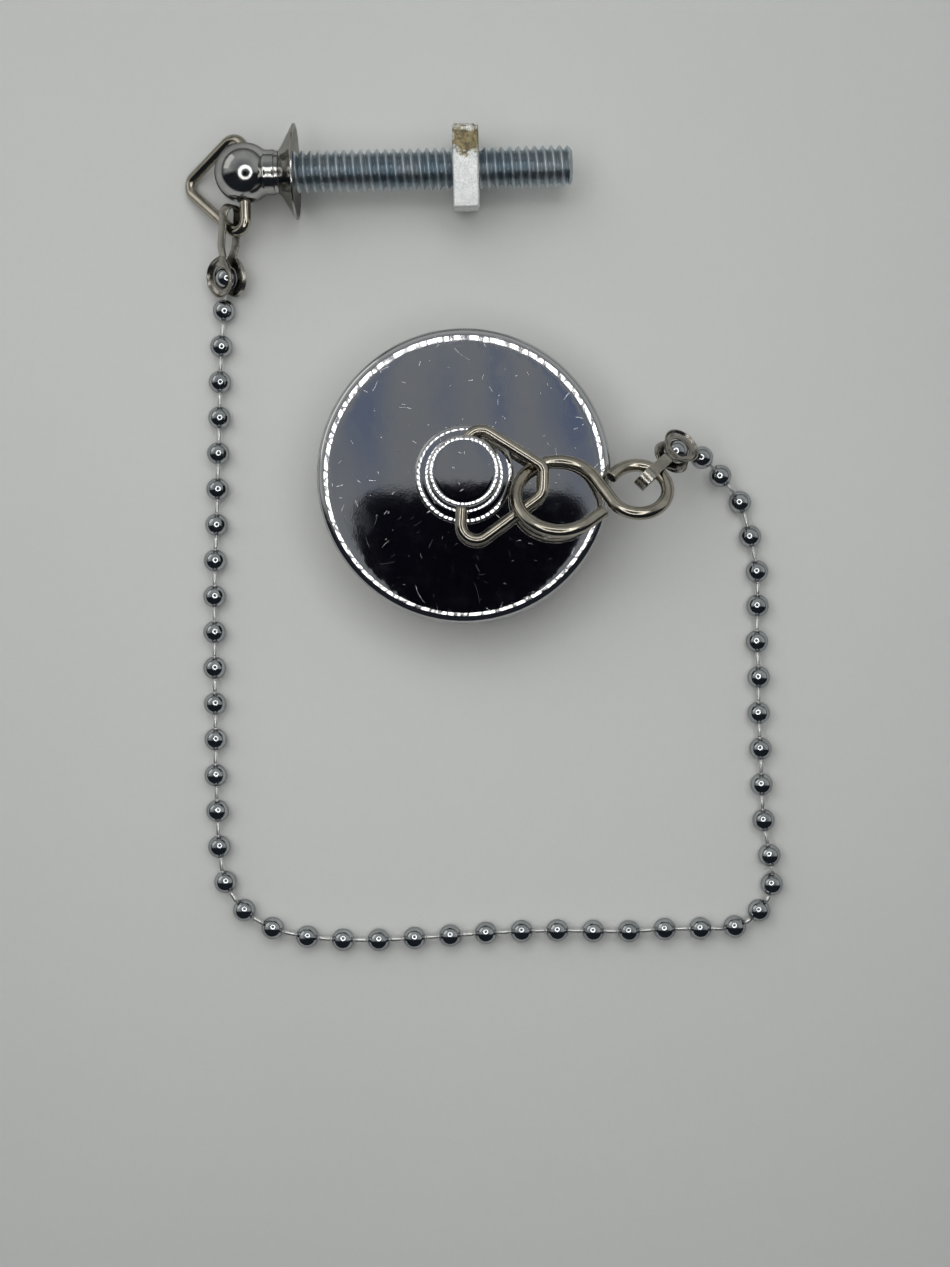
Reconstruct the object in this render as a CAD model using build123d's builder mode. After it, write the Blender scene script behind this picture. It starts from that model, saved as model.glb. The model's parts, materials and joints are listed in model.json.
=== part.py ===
from build123d import *
import math
import os

# Basin plug, 1 3/4 inch, on a bead chain with a screw-in chain stay.
# Millimetres, +Z up. The origin is the centre of the plug at the level of the surface it stands on.
# The chain is laid out on that surface around the plug, and the stay lies on it beyond the far end.

os.makedirs("parts", exist_ok=True)

INCH = 25.4

# ---------------------------------------------------------------- driving dimensions
# plug
cap_r = 1.75 * INCH / 2
cap_top_z = 13.2
cap_edge_r = 1.5          # outer radius of the rounded edge
cap_gauge = 0.8
cap_skirt_z = 10.6        # open lower end of the cap
skirt_bevel = 0.25
stopper_top_r = 20.6
stopper_foot_r = 19.0
post_r = 2.5
post_hole_r = post_r + 0.05       # in the cap and the washer
stopper_bore_r = post_r + 0.1
seat_gap = 0.02           # between pieces that bed on each other
washer_r = 9.0
washer_t = 1.0
washer_z = 3.1            # underside
washer_edge_r = 0.3

# knob
knob_top_z = 20.2
knob_head_r = 5.3
knob_head_edge_r = 0.35
knob_neck_r = 3.8
knob_base_r = 7.45
knob_base_h = 0.95
knob_base_edge_r = 0.45
knob_cove_sagitta = 0.42
eye_z = 17.3              # height of the cross hole
eye_turn = -3.5           # degrees from the Y axis to the cross hole

# bent wire
bail_wire_r = 0.875
bail_clear = 0.06         # radial play in the knob's cross hole
bail_half_gap = 0.04      # half the gap between the two ends of the wire
hook_wire_r = 0.975

# chain
bead_r = 1.75
bead_bore_r = 1.55        # inside of the hollow ball
bead_hole_r = 0.50
link_r = 0.28
link_head_r = 0.58
link_len = 3.354          # between the centres of the two heads

# clasp
strip_w = 2.0
strip_gauge = 0.33
clasp_len = 11.35         # end bead centre to outer tip of the fold
plug_fold = 1.50          # half gap inside the fold of the plug's clasp
stay_fold = 1.25          # the stay's clasp is pinched tighter
leaf_in = 0.75            # half gap between the leaves at the bead
leaf_out = leaf_in + strip_gauge
leaf_start = 2.0          # from the bead centre
eye_hole_r = 1.62
eye_rim_r = 3.0

# chain stay
axis_z = 7.3              # height of the stud axis above the surface
stud_turn = 1.17          # degrees from the X axis to the stud
ball_r = 4.6
ball_bore_r = 3.9
ball_eye_r = 1.85
neck_r = 3.4
neck_step = 0.18          # the mouth of the neck is smaller by this much in radius
neck_end = 5.4            # this and the other stay lengths run from the ball centre, along the stud
stud_r = INCH / 4 / 2
stud_root_r = 2.45
stud_start = 2.55
stud_end = 50.2
thread_pitch = INCH / 20
thread_crest = 0.20       # flat width of each crest
flange_r = 7.25
flange_bore_r = 3.28
nut_across = 12.5
nut_corner_r = 0.5
nut_t = 4.0
nut_at = 33.96            # nut centre
nut_roll = 11.0           # degrees about the stud
nut_bore_r = 3.26
nut_chamfer = 0.35


def save(part, label):
    part.label = label
    export_step(part, f"parts/{label}.step")


# ---------------------------------------------------------------- plug
# pressed metal cap: flat top, rounded edge, short skirt, open underneath
cap_inner_r = cap_r - cap_gauge
cap_under_z = cap_top_z - cap_gauge
edge_centre = (cap_r - cap_edge_r, cap_top_z - cap_edge_r)
with BuildPart() as plug_cap:
    with BuildSketch(Plane.XZ):
        with BuildLine():
            top = Line((post_hole_r, cap_top_z), (edge_centre[0], cap_top_z))
            outer_edge = CenterArc(edge_centre, cap_edge_r, 90, -90)
            Polyline(
                outer_edge @ 1,
                (cap_r, cap_skirt_z + skirt_bevel),
                (cap_r - skirt_bevel, cap_skirt_z),
                (cap_inner_r, cap_skirt_z),
                (cap_inner_r, edge_centre[1]),
            )
            inner_edge = CenterArc(edge_centre, cap_edge_r - cap_gauge, 0, 90)
            Polyline(inner_edge @ 1, (post_hole_r, cap_under_z), top @ 0)
        make_face()
    revolve(axis=Axis.Z)
save(plug_cap.part, "plug_cap")

# tapered rubber stopper under the cap, with a sealing lip and a recess for the washer
stopper_top_z = cap_under_z - 0.05
stopper_in_cap_r = cap_inner_r - 0.1
recess_z = washer_z + washer_t + seat_gap
stopper_outline = [  # radius, z
    (stopper_bore_r, stopper_top_z),
    (cap_r - cap_edge_r - 0.1, stopper_top_z),
    (stopper_in_cap_r, cap_top_z - cap_edge_r - 0.2),
    (stopper_in_cap_r, 10.35),
    (stopper_top_r, 9.7),
    (stopper_top_r - 0.45, 7.4),
    (stopper_top_r - 0.1, 7.1),
    (stopper_top_r - 0.15, 6.5),
    (stopper_top_r - 0.7, 6.1),
    (stopper_foot_r, 0.9),
    (stopper_foot_r - 0.8, 0.0),
    (15.2, 0.0),
    (14.2, 0.8),
    (12.6, recess_z),
    (stopper_bore_r, recess_z),
]
with BuildPart() as plug_stopper:
    with BuildSketch(Plane.XZ):
        with BuildLine():
            Polyline(*stopper_outline, close=True)
        make_face()
    revolve(axis=Axis.Z)
save(plug_stopper.part, "plug_stopper")

# flat washer with both outer edges rounded
with BuildPart() as plug_backing_washer:
    with BuildSketch(Plane.XY.offset(washer_z)):
        Circle(washer_r)
        Circle(post_hole_r, mode=Mode.SUBTRACT)
    extrude(amount=washer_t)
    washer_circles = plug_backing_washer.edges().filter_by(GeomType.CIRCLE)
    fillet(washer_circles.group_by(SortBy.RADIUS)[-1], washer_edge_r)
save(plug_backing_washer.part, "plug_backing_washer")

# knob: round head, neck with the cross hole, coved base ring,
# and the post that is peened under the washer
base_top_z = cap_top_z + knob_base_h
post_foot_z = washer_z - seat_gap
eye_dir = Vector(0, 1, 0).rotate(Axis.Z, eye_turn)
eye_cut_half = 10         # half length of the cutting cylinder, more than the knob's radius
with BuildPart() as plug_knob:
    with BuildSketch(Plane.XZ):
        with BuildLine():
            Line((0, knob_top_z), (knob_head_r - knob_head_edge_r, knob_top_z))
            head_edge = CenterArc(
                (knob_head_r - knob_head_edge_r, knob_top_z - knob_head_edge_r),
                knob_head_edge_r, 90, -90,
            )
            head_and_neck = Polyline(
                head_edge @ 1,
                (knob_head_r, knob_top_z - 0.95),
                (knob_neck_r + 0.25, knob_top_z - 1.6),
                (knob_neck_r, knob_top_z - 2.1),
                (knob_neck_r, cap_top_z + 2.35),
            )
            cove = SagittaArc(
                head_and_neck @ 1, (knob_base_r - 1.2, base_top_z), -knob_cove_sagitta
            )
            Line(cove @ 1, (knob_base_r - knob_base_edge_r, base_top_z))
            base_edge = CenterArc(
                (knob_base_r - knob_base_edge_r, base_top_z - knob_base_edge_r),
                knob_base_edge_r, 90, -90,
            )
            Polyline(
                base_edge @ 1,
                (knob_base_r, cap_top_z + seat_gap),
                (post_r, cap_top_z + seat_gap),
                (post_r, post_foot_z),
                (post_r + 1.1, post_foot_z),
                (post_r + 0.7, washer_z - 0.7),
                (0, washer_z - 1.0),
                (0, knob_top_z),
            )
        make_face()
    revolve(axis=Axis.Z)
    # cross hole for the bail
    with BuildSketch(Plane(origin=Vector(0, 0, eye_z) - eye_dir * eye_cut_half, z_dir=eye_dir)):
        Circle(bail_wire_r + bail_clear)
    extrude(amount=2 * eye_cut_half, mode=Mode.SUBTRACT)
save(plug_knob.part, "plug_knob")


# ---------------------------------------------------------------- bent wire
def bail_solid(plane, corners, bend_radii):
    # a loop of wire whose ends meet in the middle of its straight leg, at the plane's origin
    with BuildPart() as loop:
        with BuildLine(plane) as path:
            FilletPolyline((0, bail_half_gap), *corners, (0, -bail_half_gap), radius=bend_radii)
        with BuildSketch(Plane(origin=path.line @ 0, z_dir=path.line % 0)):
            Circle(bail_wire_r)
        sweep(path=path.line)
    return loop.part


# the plug's bail: its leg runs through the knob, and its blunt corner lies out over the cap
plug_bail_drop = 3.7      # degrees below horizontal
plug_bail_out = (
    Vector(1, 0, 0).rotate(Axis.Z, eye_turn).rotate(Axis(Vector(0, 0, 0), eye_dir), plug_bail_drop)
)
plug_bail = bail_solid(
    Plane(origin=(0, 0, eye_z), x_dir=plug_bail_out, z_dir=plug_bail_out.cross(eye_dir)),
    corners=[(0, 7.96), (11.75, 1.6), (11.9, -2.43), (0.0, -12.44)],  # outward, along the leg
    bend_radii=(2.3, 1.6, 2.2, 2.3),
)
save(plug_bail, "plug_bail")

# S-hook: one wire bent to a large and a small loop in one plane,
# which leans on the cap and on the bail
hook_lean = math.radians(31.7)    # the plane's normal leans from +Z towards +Y
hook_plane = Plane(
    origin=(14.05, 1.98, 14.2),
    x_dir=(1, 0, 0),
    z_dir=(0, math.sin(hook_lean), math.cos(hook_lean)),
)
big_centre = (0.0, -6.4)
big_r = 6.35
big_end_angle = -48
big_tail_len = 3.0        # straight end beyond the large loop
small_centre = (11.7, -5.2)
small_r = 4.4
small_end_angle = 145
small_tail_len = 0.5
# direction from the large centre to the point where the line that touches both loops leaves it
between = Vector(small_centre[0] - big_centre[0], small_centre[1] - big_centre[1])
touch_angle = math.degrees(
    math.atan2(between.Y, between.X) + math.acos((big_r + small_r) / between.length)
)
with BuildPart() as s_hook:
    with BuildLine(hook_plane) as hook_path:
        big_loop = CenterArc(big_centre, big_r, big_end_angle, touch_angle - 360 - big_end_angle)
        small_loop = CenterArc(
            small_centre, small_r, touch_angle + 180, small_end_angle + 180 - touch_angle
        )
        Line(big_loop @ 1, small_loop @ 0)
        big_tail = Line(big_loop @ 0 - (big_loop % 0) * big_tail_len, big_loop @ 0)
        Line(small_loop @ 1, small_loop @ 1 + (small_loop % 1) * small_tail_len)
    with BuildSketch(Plane(origin=big_tail @ 0, z_dir=big_tail % 0)):
        Circle(hook_wire_r)
    sweep(path=hook_path.line)
save(s_hook.part, "s_hook")

# ---------------------------------------------------------------- chain
# bead centres (x, y, z), from the one in the plug's clasp to the one in the stay's clasp
bead_centres = [
    (32.205, 3.845, 10.243), (36.498, 3.235, 6.699), (39.852, 0.730, 2.986),
    (43.087, -3.257, 1.750), (44.680, -8.621, 1.750), (45.772, -14.066, 1.750),
    (45.849, -19.449, 1.750), (45.767, -25.044, 1.750), (46.042, -30.633, 1.750),
    (46.021, -36.229, 1.750), (46.324, -41.817, 1.750), (46.480, -47.411, 1.750),
    (46.800, -52.998, 1.750), (47.713, -58.458, 1.750), (48.088, -63.015, 1.750),
    (46.096, -67.130, 1.750), (42.288, -69.660, 1.750), (36.901, -69.946, 1.750),
    (31.307, -70.062, 1.750), (25.720, -70.392, 1.750), (20.122, -70.361, 1.750),
    (14.525, -70.278, 1.750), (8.927, -70.388, 1.750), (3.335, -70.663, 1.750),
    (-2.248, -71.070, 1.750), (-7.833, -71.457, 1.750), (-13.424, -71.743, 1.750),
    (-19.021, -71.704, 1.750), (-24.600, -71.254, 1.750), (-30.030, -69.904, 1.750),
    (-34.479, -67.102, 1.750), (-37.410, -62.669, 1.750), (-38.366, -57.156, 1.750),
    (-38.647, -51.567, 1.750), (-38.926, -45.979, 1.750), (-38.943, -40.383, 1.750),
    (-39.018, -34.787, 1.750), (-39.107, -29.192, 1.750), (-39.112, -23.596, 1.750),
    (-39.123, -18.001, 1.750), (-39.031, -12.406, 1.750), (-38.817, -6.815, 1.750),
    (-38.644, -1.222, 1.750), (-38.533, 4.372, 1.750), (-38.345, 9.952, 1.750),
    (-38.282, 15.547, 1.750), (-38.063, 21.099, 1.750), (-37.625, 26.670, 1.750),
    (-37.088, 31.566, 2.962),
]
# for each link, how far along the bores of its two beads lie the points that set its line
link_reach = [
    1.14, 1.16, 1.20, 1.14, 1.10, 1.02, 1.12, 1.12, 1.12, 1.12, 1.12, 1.12,
    1.10, 1.54, 1.58, 1.58, 1.22, 1.12, 1.12, 1.12, 1.12, 1.12, 1.12, 1.12,
    1.12, 1.12, 1.12, 1.12, 1.12, 1.16, 1.10, 1.14, 1.12, 1.12, 1.12, 1.12,
    1.12, 1.12, 1.12, 1.12, 1.12, 1.12, 1.12, 1.12, 1.12, 1.10, 1.12, 1.32,
]

# each bore points halfway between the runs to the beads before and after
centres = [Vector(*point) for point in bead_centres]
runs = [(after - before).normalized() for before, after in zip(centres, centres[1:])]
bores = [
    runs[0],
    *[(before + after).normalized() for before, after in zip(runs, runs[1:])],
    runs[-1],
]


def profile_plane(origin, direction):
    # a plane with x along the direction, for half profiles that are revolved about it
    side = direction.cross(Vector(0, 0, 1)).normalized()
    return Plane(origin=origin, x_dir=direction, z_dir=side)


def bead_solid(i):
    # a hollow ball rolled from strip, open at both ends of its bore
    edge_out = math.sqrt(bead_r**2 - bead_hole_r**2)
    edge_in = math.sqrt(bead_bore_r**2 - bead_hole_r**2)
    with BuildPart() as bead:
        with BuildSketch(profile_plane(centres[i], bores[i])):
            with BuildLine():
                outside = ThreePointArc(
                    (-edge_out, bead_hole_r), (0, bead_r), (edge_out, bead_hole_r)
                )
                lip = Line(outside @ 1, (edge_in, bead_hole_r))
                inside = ThreePointArc(lip @ 1, (0, bead_bore_r), (-edge_in, bead_hole_r))
                Line(inside @ 1, outside @ 0)
            make_face()
        revolve(axis=Axis(centres[i], bores[i]))
    return bead.part


def link_solid(i):
    # a short wire from bead i to the next, with a ball head inside each
    near = centres[i] + bores[i] * link_reach[i]
    far = centres[i + 1] - bores[i + 1] * link_reach[i]
    run = (far - near).normalized()
    start = near - run * ((link_len - (far - near).length) / 2)
    root = math.sqrt(link_head_r**2 - link_r**2)
    with BuildPart() as link:
        with BuildSketch(profile_plane(start, run)):
            with BuildLine():
                near_head = ThreePointArc((-link_head_r, 0), (0, link_head_r), (root, link_r))
                wire = Line(near_head @ 1, (link_len - root, link_r))
                far_head = ThreePointArc(
                    wire @ 1, (link_len, link_head_r), (link_len + link_head_r, 0)
                )
                Line(far_head @ 1, near_head @ 0)
            make_face()
        revolve(axis=Axis(start, run))
    return link.part


# the free beads, each with the link that ties it to the bead before it
for i in range(1, len(centres) - 1):
    with BuildPart() as bead_link:
        add(bead_solid(i))
        add(link_solid(i - 1))
    save(bead_link.part, f"bead_link_{i:02d}")


# ---------------------------------------------------------------- clasps
def clasp_solid(bead_centre, toward_tip, rough_normal, fold_in):
    # a strip folded back on itself, ending in two dished eyes that face each other
    # over the end bead
    x_dir = toward_tip.normalized()
    normal = (rough_normal - x_dir * rough_normal.dot(x_dir)).normalized()
    width_dir = normal.cross(x_dir).normalized()
    fold_out = fold_in + strip_gauge
    fold_at = clasp_len - fold_out
    side = Plane(origin=bead_centre - width_dir * (strip_w / 2), x_dir=x_dir, z_dir=width_dir)
    with BuildPart() as clasp:
        with BuildSketch(side):
            with BuildLine():
                Polyline(
                    (leaf_start, leaf_in), (3.2, leaf_in), (5.0, fold_in), (fold_at, fold_in)
                )
                ThreePointArc((fold_at, fold_in), (fold_at + fold_in, 0), (fold_at, -fold_in))
                Polyline(
                    (fold_at, -fold_in), (5.0, -fold_in), (3.2, -leaf_in), (leaf_start, -leaf_in),
                    (leaf_start, -leaf_out), (3.1, -leaf_out), (4.9, -fold_out),
                    (fold_at, -fold_out),
                )
                ThreePointArc((fold_at, -fold_out), (fold_at + fold_out, 0), (fold_at, fold_out))
                Polyline(
                    (fold_at, fold_out), (4.9, fold_out), (3.1, leaf_out),
                    (leaf_start, leaf_out), (leaf_start, leaf_in),
                )
            make_face()
        extrude(amount=strip_w)
        # the two eyes
        with BuildSketch(side.offset(strip_w / 2)):
            for sign in (1, -1):
                with BuildLine():
                    Polyline(
                        (eye_hole_r, sign * leaf_in),
                        (2.25, sign * leaf_in),
                        (2.75, sign * (leaf_in + 0.30)),
                        (eye_rim_r, sign * (leaf_in + 0.80)),
                        (eye_rim_r - 0.25, sign * (leaf_in + 0.88)),
                        (2.50, sign * (leaf_in + 0.50)),
                        (2.10, sign * leaf_out),
                        (eye_hole_r, sign * leaf_out),
                        close=True,
                    )
                make_face()
        revolve(axis=Axis(bead_centre, normal))
    return clasp.part


# the plug's clasp holds the first bead
plug_clasp_tip = Vector(-0.536, -0.487, 0.690)
plug_clasp_normal = Vector(0.456, 0.521, 0.722)
with BuildPart() as plug_clasp:
    add(clasp_solid(centres[0], plug_clasp_tip, plug_clasp_normal, plug_fold))
    add(bead_solid(0))
save(plug_clasp.part, "plug_clasp")

# the stay's clasp holds the last bead and the link before it
stay_clasp_tip = Vector(0.112, 0.928, 0.356)
stay_clasp_normal = Vector(-0.687, -0.186, 0.702)
with BuildPart() as stay_clasp:
    add(clasp_solid(centres[-1], stay_clasp_tip, stay_clasp_normal, stay_fold))
    add(bead_solid(len(centres) - 1))
    add(link_solid(len(centres) - 2))
save(stay_clasp.part, "stay_clasp")

# ---------------------------------------------------------------- chain stay
# half profiles are drawn with x along the stud and y across it
ball_at = Vector(-33.70, 46.83, axis_z)
stud_dir = Vector(1, 0, 0).rotate(Axis.Z, stud_turn)
across = Vector(0, 1, 0).rotate(Axis.Z, stud_turn)
stay_plane = Plane(origin=ball_at, x_dir=stud_dir, z_dir=stud_dir.cross(across))
stay_axis = Axis(ball_at, stud_dir)

# hollow pressed ball with its neck, and a cross hole for the bail
neck_in_r = stud_root_r + 0.1
mouth_x = neck_end - 0.05
neck_out_x = math.sqrt(ball_r**2 - neck_r**2)
neck_in_x = math.sqrt(ball_bore_r**2 - neck_in_r**2)
ball_cut_half = 8
with BuildPart() as stay_ball:
    with BuildSketch(stay_plane):
        with BuildLine():
            ball_outside = ThreePointArc((-ball_r, 0), (0, ball_r), (neck_out_x, neck_r))
            neck = Polyline(
                ball_outside @ 1,
                (neck_end - 0.75, neck_r),
                (neck_end - 0.65, neck_r - neck_step),
                (mouth_x, neck_r - neck_step),
                (mouth_x, neck_in_r),
                (neck_in_x, neck_in_r),
            )
            ball_inside = ThreePointArc(neck @ 1, (0, ball_bore_r), (-ball_bore_r, 0))
            Line(ball_inside @ 1, ball_outside @ 0)
        make_face()
    revolve(axis=stay_axis)
    with BuildSketch(Plane(origin=ball_at - across * ball_cut_half, z_dir=across)):
        Circle(ball_eye_r)
    extrude(amount=2 * ball_cut_half, mode=Mode.SUBTRACT)
save(stay_ball.part, "stay_ball")

# the stay's bail: its leg runs through the ball, and its blunt corner rests on the surface
stay_bail_drop = 34.5     # degrees below horizontal
stay_bail_out = (stud_dir * -1).rotate(Axis(Vector(0, 0, 0), across), -stay_bail_drop)
stay_bail = bail_solid(
    Plane(origin=ball_at, x_dir=stay_bail_out, z_dir=stay_bail_out.cross(across)),
    corners=[(0, 7.25), (11.2, 0.54), (11.25, -1.35), (0, -10.77)],  # outward, along the leg
    bend_radii=(2.4, 1.3, 1.6, 1.75),
)
save(stay_bail, "stay_bail")

# thin dished washer that beds against the basin, loose on the stud
flange_outline = [  # along the stud, radius
    (neck_end, flange_bore_r),
    (neck_end + 0.05, 3.5),
    (neck_end + 0.35, 3.85),
    (neck_end + 2.05, 6.85),
    (neck_end + 2.30, flange_r),
    (neck_end + 2.60, flange_r),
    (neck_end + 2.62, 6.80),
    (neck_end + 1.00, 3.95),
    (neck_end + 0.55, flange_bore_r),
]
with BuildPart() as stay_flange:
    with BuildSketch(stay_plane):
        with BuildLine():
            Polyline(*flange_outline, close=True)
        make_face()
    revolve(axis=stay_axis)
save(stay_flange.part, "stay_flange")

# stud: a plain spigot in the ball's neck, then 1/4 inch thread to the cut end;
# the thread is a row of separate V grooves
spigot_end = neck_end + 0.10
first_crest = spigot_end + 0.35
first_groove = first_crest + thread_crest
groove_w = thread_pitch - thread_crest
groove_count = int((stud_end - 0.4 - first_groove) / thread_pitch)
stud_outline = [  # along the stud, radius
    (stud_start, 0),
    (stud_start, stud_root_r),
    (spigot_end, stud_root_r),
    (first_crest, stud_r),
]
for groove in range(groove_count):
    x = first_groove + groove * thread_pitch
    stud_outline += [(x, stud_r), (x + groove_w / 2, stud_root_r), (x + groove_w, stud_r)]
stud_outline += [(stud_end - 0.35, stud_r), (stud_end, stud_r - 0.4), (stud_end, 0)]
with BuildPart() as stay_bolt:
    with BuildSketch(stay_plane):
        with BuildLine():
            Polyline(*stud_outline, close=True)
        make_face()
    revolve(axis=stay_axis)
save(stay_bolt.part, "stay_bolt")

# square pressed nut, chamfered at both mouths of its bore
nut_plane = Plane(
    origin=ball_at + stud_dir * (nut_at - nut_t / 2),
    x_dir=across.rotate(Axis(Vector(0, 0, 0), stud_dir), nut_roll),
    z_dir=stud_dir,
)
with BuildPart() as stay_nut:
    with BuildSketch(nut_plane):
        RectangleRounded(nut_across, nut_across, nut_corner_r)
        Circle(nut_bore_r, mode=Mode.SUBTRACT)
    extrude(amount=nut_t)
    nut_circles = stay_nut.edges().filter_by(GeomType.CIRCLE)
    chamfer(nut_circles.group_by(SortBy.RADIUS)[-1], nut_chamfer)
save(stay_nut.part, "stay_nut")
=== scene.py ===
"""A plug on a bead chain, with the threaded stay that holds the chain's other end.

Lengths are in millimetres and become metres as each mesh is made. The plug stands upright,
its axis along +Z and its knob on top, on a floor parallel to XY. The stay's stud runs from the
ball joint along STUD_DIR. The camera is above the work and looks straight down.
"""
import json
import math

import bpy
import numpy as np
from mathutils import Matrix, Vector

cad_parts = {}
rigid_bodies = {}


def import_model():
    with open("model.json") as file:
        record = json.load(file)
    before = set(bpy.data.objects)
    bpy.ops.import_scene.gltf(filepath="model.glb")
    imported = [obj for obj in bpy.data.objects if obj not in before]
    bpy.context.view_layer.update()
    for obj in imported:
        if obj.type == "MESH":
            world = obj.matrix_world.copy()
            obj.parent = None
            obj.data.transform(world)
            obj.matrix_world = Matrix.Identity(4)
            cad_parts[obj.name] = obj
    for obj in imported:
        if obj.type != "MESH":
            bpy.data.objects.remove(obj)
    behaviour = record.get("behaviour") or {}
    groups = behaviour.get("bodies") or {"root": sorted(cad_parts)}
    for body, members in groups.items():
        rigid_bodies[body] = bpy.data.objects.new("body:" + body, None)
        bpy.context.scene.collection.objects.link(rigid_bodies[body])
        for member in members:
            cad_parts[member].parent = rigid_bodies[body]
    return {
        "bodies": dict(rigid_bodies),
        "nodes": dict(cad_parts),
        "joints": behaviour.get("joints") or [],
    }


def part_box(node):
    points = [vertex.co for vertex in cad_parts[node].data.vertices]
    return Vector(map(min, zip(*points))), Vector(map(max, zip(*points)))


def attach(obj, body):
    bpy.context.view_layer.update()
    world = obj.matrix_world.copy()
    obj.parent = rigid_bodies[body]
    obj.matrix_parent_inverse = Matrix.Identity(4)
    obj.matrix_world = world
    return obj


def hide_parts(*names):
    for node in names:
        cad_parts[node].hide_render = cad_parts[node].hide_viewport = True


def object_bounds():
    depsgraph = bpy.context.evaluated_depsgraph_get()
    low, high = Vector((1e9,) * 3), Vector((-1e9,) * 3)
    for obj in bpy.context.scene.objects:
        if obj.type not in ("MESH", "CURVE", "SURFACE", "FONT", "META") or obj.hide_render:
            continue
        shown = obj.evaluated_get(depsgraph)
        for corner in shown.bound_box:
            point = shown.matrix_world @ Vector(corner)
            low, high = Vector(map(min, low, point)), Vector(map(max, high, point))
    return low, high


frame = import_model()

MM = 0.001
RNG = np.random.default_rng(20)


# ---------------------------------------------------------------- vectors and the CAD frame
def arr(values):
    return np.array(values, float)


def unit(vector):
    vector = arr(vector)
    return vector / np.linalg.norm(vector)


UP = arr((0, 0, 1))


def turn(vector, axis, deg):
    """The vector turned about an axis."""
    vector, axis, angle = arr(vector), unit(axis), math.radians(deg)
    cosine = math.cos(angle)
    return (vector * cosine + np.cross(axis, vector) * math.sin(angle)
            + axis * (axis @ vector) * (1 - cosine))


def frame_of(axis, hint=UP):
    """The unit axis and two directions square to it, the first as near the hint as it can be."""
    axis, hint = unit(axis), arr(hint)
    if abs(unit(hint) @ axis) > 0.97:
        hint = arr((1, 0, 0)) if abs(axis[0]) < 0.9 else arr((0, 1, 0))
    side = unit(hint - axis * (hint @ axis))
    return axis, side, np.cross(axis, side)


def plain(pair):
    return [[float(c) for c in point] for point in pair]


def box_mm(name):
    low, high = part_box(name)
    return arr(low) / MM, arr(high) / MM


def joint(name):
    return next(j for j in frame["joints"] if j["name"] == name)


def node_solids(name):
    """Vertices of a CAD node at rest, as one array for each separate solid."""
    mesh = frame["nodes"][name].data
    points = np.array([v.co for v in mesh.vertices], float).reshape(-1, 3) / MM
    places = {}
    ids = [places.setdefault(tuple(np.round(p, 4)), len(places)) for p in points]
    root = list(range(len(places)))

    def find(i):
        while root[i] != i:
            root[i] = root[root[i]]
            i = root[i]
        return i

    for polygon in mesh.polygons:
        corners = list(polygon.vertices)
        first = find(ids[corners[0]])
        for corner in corners[1:]:
            other = find(ids[corner])
            if other != first:
                root[other] = first
    solids = {}
    for i, place in enumerate(ids):
        solids.setdefault(find(place), []).append(i)
    return [points[members] for members in solids.values()]


CAD_BOX = plain(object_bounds())
ball_joint = joint("stay_swing")
BALL = arr(ball_joint["pos_m"]) / MM
STUD_DIR = unit(joint("flange_slide")["axis"])
ACROSS = unit(ball_joint["axis"])
ACROSS = unit(ACROSS - STUD_DIR * (ACROSS @ STUD_DIR))
NUT_MID = sum(box_mm("stay_nut")) / 2


# ---------------------------------------------------------------- meshes
def add_mesh(name, verts, faces, material, smooth=True, sharp=None):
    """A mesh object from vertices in mm; vertices that no face uses are left out."""
    verts = arr(verts) * MM
    used = np.zeros(len(verts), bool)
    for face in faces:
        used[list(face)] = True
    place = np.cumsum(used) - 1
    mesh = bpy.data.meshes.new(name)
    mesh.from_pydata([tuple(v) for v in verts[used]], [],
                     [tuple(int(place[i]) for i in face) for face in faces])
    mesh.validate()
    mesh.update()
    mesh.polygons.foreach_set("use_smooth", [smooth] * len(mesh.polygons))
    mesh.materials.append(material)
    ob = bpy.data.objects.new(name, mesh)
    bpy.context.scene.collection.objects.link(ob)
    if sharp:
        mesh.set_sharp_from_angle(angle=math.radians(sharp))
    return ob


def piece(name, verts, faces, finish, body, node=None, sharp=None):
    """A mesh riding on a CAD body. A finish is a material and the name of its slot; the slot name
    is not used.
    """
    material, slot = finish
    ob = add_mesh(name, verts, faces, material, sharp=sharp)
    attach(ob, body)
    if node:
        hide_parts(node)


def grid_faces(rows, around, closed=False):
    """Quads over rows of points that each close on themselves."""
    here = np.arange(rows * around).reshape(rows, around)
    after = np.roll(here, -1, 0)
    quads = np.stack([here, after, np.roll(after, -1, 1), np.roll(here, -1, 1)], 2)
    return quads[:rows if closed else rows - 1].reshape(-1, 4)


def face_outward(verts, faces, centre, axis=None):
    """Flips every face if on the whole they look in to the centre, or to an axis through it."""
    normals = np.cross(verts[faces[:, 2]] - verts[faces[:, 0]],
                       verts[faces[:, 3]] - verts[faces[:, 1]])
    out = verts[faces].mean(1) - centre
    if axis is not None:
        out = out - (out @ axis)[:, None] * axis
    return faces[:, ::-1] if (out * normals).sum() < 0 else faces


def merge(parts):
    verts, faces, count = [], [], 0
    for part_verts, part_faces in parts:
        verts.append(part_verts)
        faces += [tuple(int(i) + count for i in face) for face in part_faces]
        count += len(part_verts)
    return np.vstack(verts), faces


def split_runs(points, closed, step):
    """The same path with no run between points longer than the step."""
    out = []
    count = len(points)
    for i in range(count if closed else count - 1):
        start, end = points[i], points[(i + 1) % count]
        parts = max(1, int(math.ceil(np.linalg.norm(end - start) / step)))
        out += [start + (end - start) * t / parts for t in range(parts)]
    if not closed:
        out.append(points[-1])
    return np.array(out)


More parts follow.
